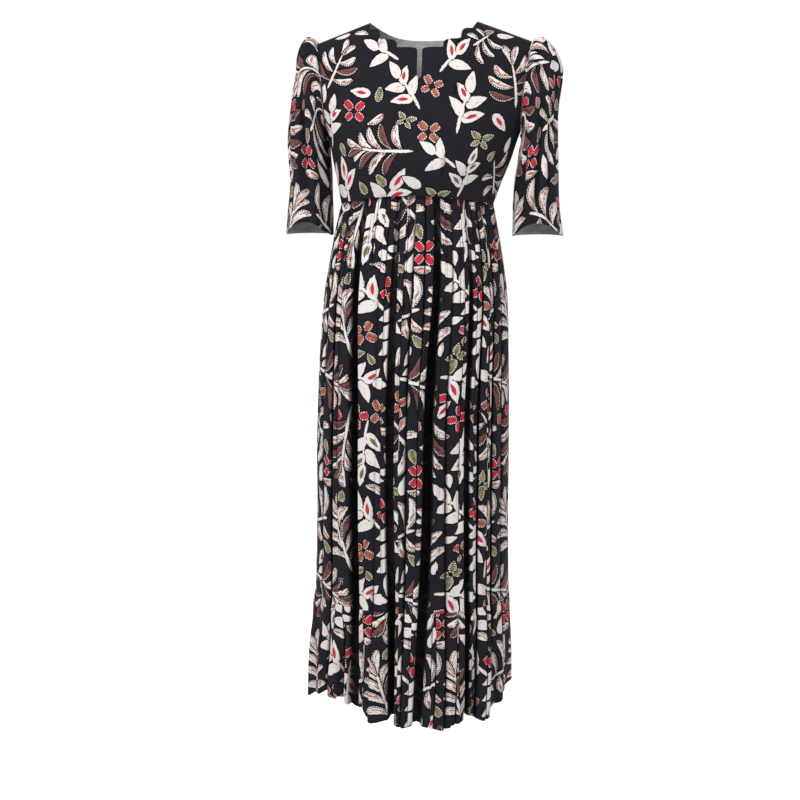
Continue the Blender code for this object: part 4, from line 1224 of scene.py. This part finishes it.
def print_slots(corners, leaves):
    """Which leaves each face shows, in order: arrays of (x, y, turn, style) and of
    (length, width, bend, seed)."""
    count = len(corners)
    centre = corners.mean(axis=1)
    radius = np.linalg.norm(corners - centre[:, None], axis=2).max(axis=1)
    order = np.argsort(centre[:, 1], kind="stable")
    heights = centre[order, 1]
    faces, gaps, numbers = [], [], []
    for number, item in enumerate(leaves):
        reach = item.half_length + abs(item.bend) + 0.010
        near = order[np.searchsorted(heights, item.y - reach):np.searchsorted(heights, item.y + reach)]
        near = near[np.abs(centre[near, 0] - item.x) < reach]
        gap = leaf_distance(item, centre[near, 0], centre[near, 1]) - radius[near]
        close = gap < PRINT_MARGIN
        faces.append(near[close])
        gaps.append(gap[close])
        numbers.append(np.full(close.sum(), number))
    face, gap, number = (np.concatenate(rows) for rows in (faces, gaps, numbers))
    by_gap = np.lexsort((gap, face))
    face, number = face[by_gap], number[by_gap]
    kept = rank_in_groups(face) < SLOTS
    face, number = face[kept], number[kept]
    by_leaf = np.lexsort((number, face))
    face, number = face[by_leaf], number[by_leaf]
    slot = rank_in_groups(face)
    table = np.array([tuple(item) for item in leaves])
    places = np.zeros((SLOTS, count, 4), np.float32)
    shapes = np.zeros((SLOTS, count, 4), np.float32)
    places[:, :, 0] = 9.0
    shapes[:, :, 0] = 0.01
    places[slot, face] = table[number][:, (0, 1, 2, 6)]
    shapes[slot, face] = table[number][:, (3, 4, 5, 7)]
    return places, shapes


REPEAT = fill_repeat()


# ---- materials -----------------------------------------------------------------------------------------
class Nodes:
    """Short ways to add shader nodes to one tree."""

    def __init__(self, tree):
        self.tree = tree

    def add(self, kind, inputs=(), **settings):
        node = self.tree.nodes.new(kind)
        for name, value in settings.items():
            setattr(node, name, value)
        for key, value in dict(inputs).items():
            if isinstance(value, bpy.types.NodeSocket):
                self.tree.links.new(value, node.inputs[key])
            else:
                node.inputs[key].default_value = value
        return node

    def math(self, operation, *values, clamp=False):
        return self.add("ShaderNodeMath", enumerate(values), operation=operation, use_clamp=clamp).outputs[0]

    def below(self, value, edge, soft):
        """1 where value is under edge, 0 above it, over a soft step."""
        node = self.add("ShaderNodeMapRange", {"Value": value}, interpolation_type="SMOOTHSTEP")
        for name, number in (("From Min", edge - soft), ("From Max", edge + soft),
                             ("To Min", 1.0), ("To Max", 0.0)):
            node.inputs[name].default_value = number
        return node.outputs[0]

    def mix(self, factor, low, high):
        node = self.add("ShaderNodeMix", {0: factor, 6: low, 7: high}, data_type="RGBA")
        return node.outputs[2]

    def by_style(self, style, values):
        """A colour or number picked by the style from a list."""
        place = self.math("DIVIDE", self.math("ADD", style, 0.5), float(len(values)))
        node = self.add("ShaderNodeValToRGB", {0: place})
        ramp = node.color_ramp
        ramp.interpolation = "CONSTANT"
        while len(ramp.elements) < len(values):
            ramp.elements.new(0.5)
        for index, value in enumerate(values):
            ramp.elements[index].position = index / len(values)
        for index, value in enumerate(values):
            ramp.elements[index].color = value if isinstance(value, tuple) else (value, value, value, 1.0)
        return node.outputs[0]


def leaf_group():
    """Node group that lays one leaf over the colour below it."""
    group = bpy.data.node_groups.new("print_leaf", "ShaderNodeTree")
    for name, kind in (("Under", "Color"), ("Flat", "Vector"), ("Place", "Color"), ("Style", "Float"),
                       ("Shape", "Color"), ("Seed", "Float"), ("Wobble", "Float")):
        group.interface.new_socket(name=name, in_out="INPUT", socket_type="NodeSocket" + kind)
    group.interface.new_socket(name="Color", in_out="OUTPUT", socket_type="NodeSocketColor")
    n = Nodes(group)
    given = n.add("NodeGroupInput").outputs
    flat = n.add("ShaderNodeSeparateXYZ", {0: given["Flat"]}).outputs
    place = n.add("ShaderNodeSeparateColor", {0: given["Place"]}).outputs
    shape = n.add("ShaderNodeSeparateColor", {0: given["Shape"]}).outputs
    style = given["Style"]
    sine = n.math("SINE", place[2])
    cosine = n.math("COSINE", place[2])
    dx = n.math("SUBTRACT", flat[0], place[0])
    dy = n.math("SUBTRACT", flat[1], place[1])
    along = n.math("ADD", n.math("MULTIPLY", dx, sine), n.math("MULTIPLY", dy, cosine))
    across = n.math("SUBTRACT", n.math("MULTIPLY", dx, cosine), n.math("MULTIPLY", dy, sine))
    t = n.math("MINIMUM", n.math("MAXIMUM", n.math("DIVIDE", along, shape[0]), -1.0), 1.0)
    arch = n.math("SUBTRACT", 1.0, n.math("MULTIPLY", t, t))
    side = n.math("SUBTRACT", across, n.math("MULTIPLY", shape[2], arch))
    tip = n.math("POWER", n.math("SUBTRACT", 1.0, t), LEAF_TIP)
    foot = n.math("POWER", n.math("ADD", 1.0, t), LEAF_FOOT)
    lens = n.math("DIVIDE", n.math("MULTIPLY", tip, foot), LEAF_FULL)
    square = n.math("SUBTRACT", 1.0, n.math("POWER", n.math("ABSOLUTE", t), float(STEM_SQUARE)))
    rod = n.math("MULTIPLY", square, n.math("SUBTRACT", 1.0, n.math("MULTIPLY", t, STEM_TAPER)))
    is_stem = n.math("GREATER_THAN", style, STEM - 0.5)
    is_petal = n.math("COMPARE", style, (RED_PETAL + RUST_PETAL) / 2, 0.6)
    blob = n.math("SQRT", n.math("SUBTRACT", 1.0, n.math("POWER", n.math("ABSOLUTE", t), 4.0)))
    outline = n.add("ShaderNodeMix", {0: is_stem, 2: lens, 3: rod}, data_type="FLOAT").outputs[0]
    outline = n.add("ShaderNodeMix", {0: is_petal, 2: outline, 3: blob}, data_type="FLOAT").outputs[0]
    beyond = n.math("MAXIMUM", n.math("SUBTRACT", n.math("ABSOLUTE", along), shape[0]), 0.0)
    reach = n.math("SQRT", n.math("ADD", n.math("MULTIPLY", beyond, beyond), n.math("MULTIPLY", side, side)))
    edge = n.math("SUBTRACT", reach, n.math("MULTIPLY", shape[1], outline))
    edge = n.math("ADD", edge, given["Wobble"])
    inside = n.below(edge, 0.0, EDGE_SOFT)
    lined = n.math("MULTIPLY", n.below(edge, OUTLINE, EDGE_SOFT), n.math("SUBTRACT", 1.0, is_stem))

    stretched = enumerate(n.math("MULTIPLY", value, scale)
                          for value, scale in zip((along, side, given["Seed"]), STREAK_SCALES))
    grain = n.add("ShaderNodeCombineXYZ", stretched).outputs[0]
    streaks = n.add("ShaderNodeTexNoise", {"Vector": grain, "Scale": 1.0, "Detail": 2.5,
                                           "Roughness": 0.6}).outputs[0]
    clear = n.by_style(style, [look.clear for look in STYLE_LOOKS])
    middle = n.math("DIVIDE", n.math("ABSOLUTE", side), n.math("MULTIPLY", shape[1], 1.4))
    middle = n.math("MULTIPLY", n.math("SUBTRACT", 0.30, middle), 0.32)
    streaks = n.math("ADD", streaks, n.math("MULTIPLY", middle, n.math("GREATER_THAN", style, FROND - 0.5)))
    streaked = n.math("MULTIPLY", n.math("SUBTRACT", streaks, clear), 14.0, clamp=True)
    fill = n.mix(streaked, n.by_style(style, [look.fill for look in STYLE_LOOKS]),
                 n.by_style(style, [look.streak for look in STYLE_LOOKS]))
    heart_x = n.math("DIVIDE", n.math("ADD", along, n.math("MULTIPLY", shape[0], 0.12)),
                     n.math("MULTIPLY", shape[0], 0.52))
    heart_y = n.math("DIVIDE", side, n.math("MULTIPLY", shape[1], 0.36))
    heart_size = n.math("ADD", n.math("MULTIPLY", heart_x, heart_x), n.math("ABSOLUTE", heart_y))
    heart = n.below(n.math("ADD", heart_size, n.math("MULTIPLY", given["Wobble"], 120.0)), 1.0, 0.10)
    heart = n.math("MULTIPLY", heart, n.by_style(style, [look.heart for look in STYLE_LOOKS]))
    heart_color = n.mix(n.math("GREATER_THAN", style, RED_HEART + 0.5), RED, DEEP_OLIVE)
    fill = n.mix(heart, fill, heart_color)
    rim = n.by_style(style, [look.rim for look in STYLE_LOOKS])
    outer_side = n.math("GREATER_THAN", n.math("MULTIPLY", side, shape[2]), -1e-6)
    rim = n.math("MULTIPLY", rim, outer_side)
    beads = n.math("SINE", n.math("ADD", n.math("MULTIPLY", along, 2 * math.pi / BEAD_STEP), given["Seed"]))
    beads = n.below(beads, 0.35, 0.30)
    edge_color = n.mix(beads, LINE_AND_SHADE_COLOR, CREAM)
    edge_zone = n.math("MULTIPLY", n.math("SUBTRACT", 1.0, n.below(edge, -0.0020, EDGE_SOFT)), rim)
    line_zone = n.math("MULTIPLY", n.math("SUBTRACT", 1.0, n.below(edge, -0.0031, EDGE_SOFT)), rim)
    dark_line = n.by_style(style, [0.0, 0.0, 0.0, 0.85, 0.85, 0.0, 0.0, 0.0, 0.0])
    fill = n.mix(n.math("MULTIPLY", line_zone, dark_line), fill, LINE_AND_SHADE_COLOR)
    fill = n.mix(edge_zone, fill, edge_color)
    color = n.mix(lined, given["Under"], LINE_AND_SHADE_COLOR)
    color = n.mix(inside, color, fill)
    n.add("NodeGroupOutput", {0: color})
    return group


def crepe_material():
    """Printed crepe: a near-black ground, the leaf print, a fine pebbled grain and a low sheen."""
    material = bpy.data.materials.new("printed_crepe_cloth")
    material.use_nodes = True
    tree = material.node_tree
    shader = tree.nodes["Principled BSDF"]
    n = Nodes(tree)
    flat = n.add("ShaderNodeUVMap", uv_map="Cloth").outputs[0]
    wobble = n.add("ShaderNodeTexNoise", {"Vector": flat, "Scale": 210.0, "Detail": 1.0}).outputs[0]
    wobble = n.math("MULTIPLY", n.math("SUBTRACT", wobble, 0.5), LEAF_WOBBLE)
    color = n.add("ShaderNodeTexNoise", {"Vector": flat, "Scale": 18.0, "Detail": 3.0}).outputs[0]
    color = n.mix(color, GROUND_DARK, GROUND_PALE)
    group = leaf_group()
    for slot in range(SLOTS):
        place = n.add("ShaderNodeAttribute", attribute_name=f"place_{slot}").outputs
        shape = n.add("ShaderNodeAttribute", attribute_name=f"shape_{slot}").outputs
        layer = n.add("ShaderNodeGroup", node_tree=group)
        for name, value in (("Under", color), ("Flat", flat), ("Place", place["Color"]),
                            ("Style", place["Alpha"]), ("Shape", shape["Color"]),
                            ("Seed", shape["Alpha"]), ("Wobble", wobble)):
            tree.links.new(value, layer.inputs[name])
        color = layer.outputs[0]
    reverse = n.add("ShaderNodeAttribute", attribute_name="reverse").outputs["Fac"]
    washed = n.mix(REVERSE_SHARE, color, REVERSE_WASH)
    color = n.mix(reverse, color, washed)
    # painted shade: the base colour is darkened towards black in the hollows of the folds
    painted_shade = n.add("ShaderNodeAttribute", attribute_name="fold_shade").outputs["Fac"]
    bright = n.below(painted_shade, (SHADE_FROM + SHADE_FULL) / 2, (SHADE_FULL - SHADE_FROM) / 2)
    painted_shade = n.math("SUBTRACT", 1.0, bright)
    painted_shade = n.math("MULTIPLY", painted_shade, SHADE_MOST)
    color = n.mix(painted_shade, color, LINE_AND_SHADE_COLOR)
    tree.links.new(color, shader.inputs["Base Color"])
    grain = n.add("ShaderNodeTexNoise", {"Vector": flat, "Scale": 1500.0, "Detail": 2.0}).outputs[0]
    slub = n.add("ShaderNodeTexNoise", {"Vector": flat, "Scale": 260.0, "Detail": 2.0}).outputs[0]
    height = n.math("ADD", n.math("MULTIPLY", grain, GRAIN_HEIGHT), n.math("MULTIPLY", slub, SLUB_HEIGHT))
    bump = n.add("ShaderNodeBump", {"Height": height})
    bump.inputs["Strength"].default_value = 0.55
    bump.inputs["Distance"].default_value = 1.0
    tree.links.new(bump.outputs[0], shader.inputs["Normal"])
    shine = n.math("ADD", n.math("MULTIPLY", slub, 0.12), 0.76)
    tree.links.new(shine, shader.inputs["Roughness"])
    shader.inputs["Specular IOR Level"].default_value = 0.12
    shader.inputs["Sheen Weight"].default_value = 0.012
    shader.inputs["Sheen Roughness"].default_value = 0.45
    return material


def thread_material():
    """Black sewing thread: a dark twist with a low gloss."""
    material = bpy.data.materials.new("sewing_thread")
    material.use_nodes = True
    shader = material.node_tree.nodes["Principled BSDF"]
    n = Nodes(material.node_tree)
    place = n.add("ShaderNodeTexCoord").outputs["Object"]
    twist = n.add("ShaderNodeTexNoise", {"Vector": place, "Scale": 2600.0, "Detail": 1.0}).outputs[0]
    color = n.mix(twist, THREAD_DARK, THREAD_PALE)
    material.node_tree.links.new(color, shader.inputs["Base Color"])
    bump = n.add("ShaderNodeBump", {"Height": n.math("MULTIPLY", twist, 0.0001)})
    material.node_tree.links.new(bump.outputs[0], shader.inputs["Normal"])
    shader.inputs["Roughness"].default_value = 0.5
    return material


# ---- making pieces -------------------------------------------------------------------------------------
def grid_normals(points, closed):
    if closed:
        across = np.roll(points, -1, axis=0) - np.roll(points, 1, axis=0)
    else:
        across = np.gradient(points, axis=0)
    down = np.gradient(points, axis=1)
    normals = np.cross(across, down)
    return normals / np.maximum(np.linalg.norm(normals, axis=2, keepdims=True), 1e-12)


def cloth_thickness(rows, hemmed):
    thickness = np.full(rows, CLOTH)
    if hemmed:
        thickness[-HEM_BAND:] = HEM_CLOTH
    return thickness


def stitch_row(name, points, outward, closed, material):
    """Short stitches along the upper edge of a hem, on the outer side of the cloth."""
    row = -HEM_BAND
    normals = grid_normals(points, closed) * outward
    path, away = points[:, row], normals[:, row]
    if closed:
        path, away = np.concatenate([path, path[:1]]), np.concatenate([away, away[:1]])
    length = np.concatenate([[0], np.linalg.norm(np.diff(path, axis=0), axis=1).cumsum()])
    places = np.arange(STITCH_STEP, length[-1] - STITCH_STEP, STITCH_STEP)

    def read(table, at):
        return np.stack([np.interp(at, length, table[:, axis]) for axis in range(3)], axis=1)

    out = read(away, places)
    out /= np.linalg.norm(out, axis=1, keepdims=True)
    middle = read(path, places) + out * HEM_CLOTH / 2
    along = read(path, places + STITCH_LENGTH / 2) - read(path, places - STITCH_LENGTH / 2)
    along /= np.maximum(np.linalg.norm(along, axis=1, keepdims=True), 1e-9)
    across = np.cross(along, out)
    ends = along * STITCH_LENGTH / 2
    wide, high = across * STITCH_HALF, out * STITCH_RISE
    vertices = np.stack([middle - ends, middle + ends, middle + wide, middle + high, middle - wide,
                         middle - high], axis=1).reshape(-1, 3)
    faces = []
    for base in range(0, len(vertices), 6):
        for first, second in ((2, 3), (3, 4), (4, 5), (5, 2)):
            faces.append((base, base + first, base + second))
            faces.append((base + 1, base + second, base + first))
    mesh = bpy.data.meshes.new(name)
    mesh.from_pydata(vertices.tolist(), [], faces)
    mesh.shade_smooth()
    mesh.materials.append(material)
    piece = bpy.data.objects.new(name, mesh)
    bpy.context.scene.collection.objects.link(piece)
    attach(piece, "root")
    return piece


def cloth_piece(name, points, flat_left, flat_right, leaves, outward, closed, material, shade=None,
                hemmed=False):
    """A thin shell through a grid of points. flat_left and flat_right place each column's faces on the
    cloth."""
    columns, rows = points.shape[:2]
    spans = columns if closed else columns - 1
    normals = grid_normals(points, closed) * outward
    thickness = cloth_thickness(rows, hemmed)[None, :, None]
    outer = points + normals * thickness / 2
    inner = points - normals * thickness / 2
    vertices = np.concatenate([outer.reshape(-1, 3), inner.reshape(-1, 3)])
    total = columns * rows
    column = np.repeat(np.arange(spans), rows - 1)
    row = np.tile(np.arange(rows - 1), spans)
    a = column * rows + row
    b = (column + 1) % columns * rows + row
    quads = np.stack([a, b, b + 1, a + 1], axis=1)
    corners = np.stack([flat_left[column, row], flat_right[column, row],
                        flat_right[column, row + 1], flat_left[column, row + 1]], axis=1)
    if outward < 0:
        outer_quads, outer_uv = quads[:, ::-1], corners[:, ::-1]
    else:
        outer_quads, outer_uv = quads, corners
    inner_quads, inner_uv = outer_quads[:, ::-1] + total, outer_uv[:, ::-1]
    rims, rim_uv = [], []

    def rim(first, second, place):
        rims.append((first, second, second + total, first + total))
        rim_uv.append((place, place, place, place))

    for index in range(spans):
        nxt = (index + 1) % columns
        rim(index * rows, nxt * rows, flat_left[index, 0])
        rim(nxt * rows + rows - 1, index * rows + rows - 1, flat_left[index, -1])
    if not closed:
        for index in range(rows - 1):
            rim(index + 1, index, flat_left[0, index])
            rim((columns - 1) * rows + index, (columns - 1) * rows + index + 1, flat_right[-1, index])
    rims = np.array(rims)
    if outward > 0:
        rims = rims[:, ::-1]
    faces = np.concatenate([outer_quads, inner_quads, rims])
    mesh = bpy.data.meshes.new(name)
    mesh.from_pydata(vertices.tolist(), [], faces.tolist())
    flat = np.concatenate([outer_uv, inner_uv, np.array(rim_uv)])
    layer = mesh.uv_layers.new(name="Cloth")
    layer.data.foreach_set("uv", flat.reshape(-1).astype(np.float32))
    add_bake_map(mesh, flat, len(outer_quads), column, row, rows, spans, outward)
    places, shapes = print_slots(flat, leaves)
    for slot in range(SLOTS):
        for kind, values in (("place", places), ("shape", shapes)):
            attribute = mesh.attributes.new(f"{kind}_{slot}", "FLOAT_COLOR", "FACE")
            attribute.data.foreach_set("color", values[slot].reshape(-1))
    reverse = mesh.attributes.new("reverse", "FLOAT", "FACE")
    is_inner = np.zeros(len(faces), np.float32)
    is_inner[len(outer_quads):len(outer_quads) * 2] = 1.0
    reverse.data.foreach_set("value", is_inner)
    # painted shade: how dark each point's fold hollow is painted, the same on both sides of the cloth
    painted_shade = mesh.attributes.new("fold_shade", "FLOAT", "POINT")
    depth = np.zeros((columns, rows)) if shade is None else shade
    painted_shade.data.foreach_set("value", np.concatenate([depth.reshape(-1)] * 2).astype(np.float32))
    mesh.shade_smooth()
    sharp = set()
    for first, second, third, fourth in rims.tolist():
        for pair in ((first, second), (second, third), (third, fourth), (fourth, first)):
            if (pair[0] < total) == (pair[1] < total):
                sharp.add(frozenset(pair))
    flags = [frozenset(edge.vertices) in sharp for edge in mesh.edges]
    mesh.attributes.new("sharp_edge", "BOOLEAN", "EDGE").data.foreach_set("value", flags)
    mesh.materials.append(material)
    piece = bpy.data.objects.new(name, mesh)
    bpy.context.scene.collection.objects.link(piece)
    return piece


def add_bake_map(mesh, flat, count, column, row, rows, spans, outward):
    """A second map without overlaps: the outer side, then the inner side, smaller."""
    u = column / spans
    v = row / (rows - 1)
    du, dv = 1 / spans, 1 / (rows - 1)
    quad = np.stack([np.stack([u, v], 1), np.stack([u + du, v], 1), np.stack([u + du, v + dv], 1),
                     np.stack([u, v + dv], 1)], axis=1)
    if outward < 0:
        quad = quad[:, ::-1]
    outer = quad * (0.78, 0.994) + (0.003, 0.003)
    inner = quad[:, ::-1] * (0.17, 0.994) + (0.790, 0.003)
    rims = np.full((len(flat) - 2 * count, 4, 2), 0.0)
    spread_v = np.linspace(0.003, 0.99, len(rims))
    for corner, (x, y) in enumerate(((0.970, 0.0), (0.995, 0.0), (0.995, 0.5), (0.970, 0.5))):
        rims[:, corner, 0] = x
        rims[:, corner, 1] = spread_v + y / len(rims)
    layer = mesh.uv_layers.new(name="OFBake")
    layer.data.foreach_set("uv", np.concatenate([outer, inner, rims]).reshape(-1).astype(np.float32))


# where the print's repeat starts on each piece's flat cloth
PRINT_STARTS = {
    "bodice_back": (0.05, 0.10), "sleeve_left": (0.13, 0.13), "sleeve_right": (-0.09, 0.13),
    "skirt_front": (0.07, 0.02), "hem_tier_front": (0.19, 0.14),
    "skirt_back": (0.21, 0.19), "hem_tier_back": (0.03, 0.30),
}
crepe = crepe_material()
thread = thread_material()
Cut = namedtuple("Cut", "width length held")


def dress(name, piece, trims=()):
    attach(piece, "root")
    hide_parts(name)


for side, name in ((FRONT, "bodice_front"), (BACK, "bodice_back")):
    points, flat = bodice_grid(side)
    normals = grid_normals(points, False)
    sign = 1 if (normals[:, :, 1] * side).mean() > 0 else -1
    flat[:, :, 0] *= -side
    if side == FRONT:
        leaves = [item for placed in BODICE_FRONT_PRINT for item in place_motif(placed)]
    else:
        leaves = print_over(flat.min(axis=(0, 1)), flat.max(axis=(0, 1)), PRINT_STARTS[name])
    piece = cloth_piece(name + "_cloth", points, flat[:-1], flat[1:], leaves, sign, False, crepe)
    dress(name, piece)

for hand, name in ((1, "sleeve_left"), (-1, "sleeve_right")):
    points, flat, shade = sleeve_grid(hand)
    normals = grid_normals(points, True)
    centre = points.mean(axis=0, keepdims=True)
    sign = 1 if (normals * (points - centre)).sum(axis=2).mean() > 0 else -1
    leaves = print_over(flat.min(axis=(0, 1)), flat.max(axis=(0, 1)), PRINT_STARTS[name])
    piece = cloth_piece(name + "_cloth", points, flat[:-1], flat[1:], leaves, sign, True, crepe, shade, True)
    dress(name, piece, [stitch_row(name + "_stitches", points, sign, True, thread)])

for side in (FRONT, BACK):
    for name, heights, tucks in (("skirt", skirt_heights(side), TUCKS[side]),
                                 ("hem_tier", tier_heights(side), TIER_TUCKS[side])):
        name += "_front" if side == FRONT else "_back"
        points, left, right, shade = panel_grid(side, heights, tucks)
        normals = grid_normals(points, False)
        sign = 1 if (normals[:, :, 1] * side).mean() > 0 else -1
        up = points[:, :, 2]
        flat_left = np.stack([left * -side, up[:-1]], axis=2)
        flat_right = np.stack([right * -side, up[1:]], axis=2)
        low = np.minimum(flat_left.min(axis=(0, 1)), flat_right.min(axis=(0, 1)))
        high = np.maximum(flat_left.max(axis=(0, 1)), flat_right.max(axis=(0, 1)))
        leaves = print_over(low, high, PRINT_STARTS[name])
        hemmed = name.startswith("hem")
        piece = cloth_piece(name + "_cloth", points, flat_left, flat_right, leaves, sign, False, crepe, shade,
                            hemmed)
        dress(name, piece, [stitch_row(name + "_stitches", points, sign, False, thread)] if hemmed else [])


# ---- stage, light and camera ---------------------------------------------------------------------------
FLOOR_Z = -1.525
CAMERA_AZIMUTH = math.radians(7.0)
CAMERA_DISTANCE = 2.5
CAMERA_OFF = -0.046
CAMERA_Z = -0.247
CAMERA_PITCH = math.radians(10.4)
CAMERA_LENS = 57.33
ROOM_LIGHT = 0.41
BACKDROP_LIGHT = 1.0
FLOOR_GLOW = 0.70
FLOOR_HALF = 14.0
LAMP_TARGET = (0.0, 0.0, -0.6)
Lamp = namedtuple("Lamp", "name place size power")
LAMPS = (
    Lamp("key", (-1.6, -2.4, 1.5), 1.5, 80.0),
    Lamp("fill", (2.0, -1.6, 0.4), 2.0, 23.0),
    Lamp("back", (0.4, 2.8, 0.9), 2.0, 34.0),
)


def add_stage():
    mesh = bpy.data.meshes.new("floor")
    corners = [(x * FLOOR_HALF, y * FLOOR_HALF, FLOOR_Z) for x, y in ((-1, -1), (1, -1), (1, 1), (-1, 1))]
    mesh.from_pydata(corners, [], [(0, 1, 2, 3)])
    material = bpy.data.materials.new("pale_floor")
    material.use_nodes = True
    shader = material.node_tree.nodes["Principled BSDF"]
    shader.inputs["Base Color"].default_value = (0.88, 0.88, 0.88, 1.0)
    shader.inputs["Roughness"].default_value = 0.9
    shader.inputs["Emission Color"].default_value = (1.0, 1.0, 1.0, 1.0)
    shader.inputs["Emission Strength"].default_value = FLOOR_GLOW
    mesh.materials.append(material)
    floor = bpy.data.objects.new("floor", mesh)
    bpy.context.scene.collection.objects.link(floor)
    floor.visible_diffuse = False           # it would light the cloth from below
    world = bpy.data.worlds.new("studio")
    bpy.context.scene.world = world
    world.use_nodes = True
    n = Nodes(world.node_tree)
    seen = n.add("ShaderNodeLightPath").outputs["Is Camera Ray"]
    lights = {0: seen, 2: ROOM_LIGHT, 3: BACKDROP_LIGHT}
    strength = n.add("ShaderNodeMix", lights, data_type="FLOAT").outputs[0]
    background = world.node_tree.nodes["Background"]
    background.inputs["Color"].default_value = (1.0, 1.0, 1.0, 1.0)
    world.node_tree.links.new(strength, background.inputs["Strength"])
    bpy.context.scene.view_settings.view_transform = "Standard"


def add_light(lamp):
    light = bpy.data.lights.new(lamp.name, "AREA")
    light.energy = lamp.power
    light.size = lamp.size
    thing = bpy.data.objects.new(lamp.name, light)
    thing.location = lamp.place
    thing.rotation_euler = (Vector(LAMP_TARGET) - Vector(lamp.place)).to_track_quat("-Z", "Y").to_euler()
    bpy.context.scene.collection.objects.link(thing)


def add_camera():
    camera = bpy.data.cameras.new("camera")
    camera.lens = CAMERA_LENS
    camera.sensor_width = 36.0
    thing = bpy.data.objects.new("camera", camera)
    thing.location = (math.sin(CAMERA_AZIMUTH) * CAMERA_DISTANCE + CAMERA_OFF * math.cos(CAMERA_AZIMUTH),
                      -math.cos(CAMERA_AZIMUTH) * CAMERA_DISTANCE + CAMERA_OFF * math.sin(CAMERA_AZIMUTH),
                      CAMERA_Z)
    thing.rotation_euler = (math.pi / 2 - CAMERA_PITCH, 0.0, CAMERA_AZIMUTH)
    bpy.context.scene.collection.objects.link(thing)
    bpy.context.scene.camera = thing


add_stage()
for lamp in LAMPS:
    add_light(lamp)
add_camera()
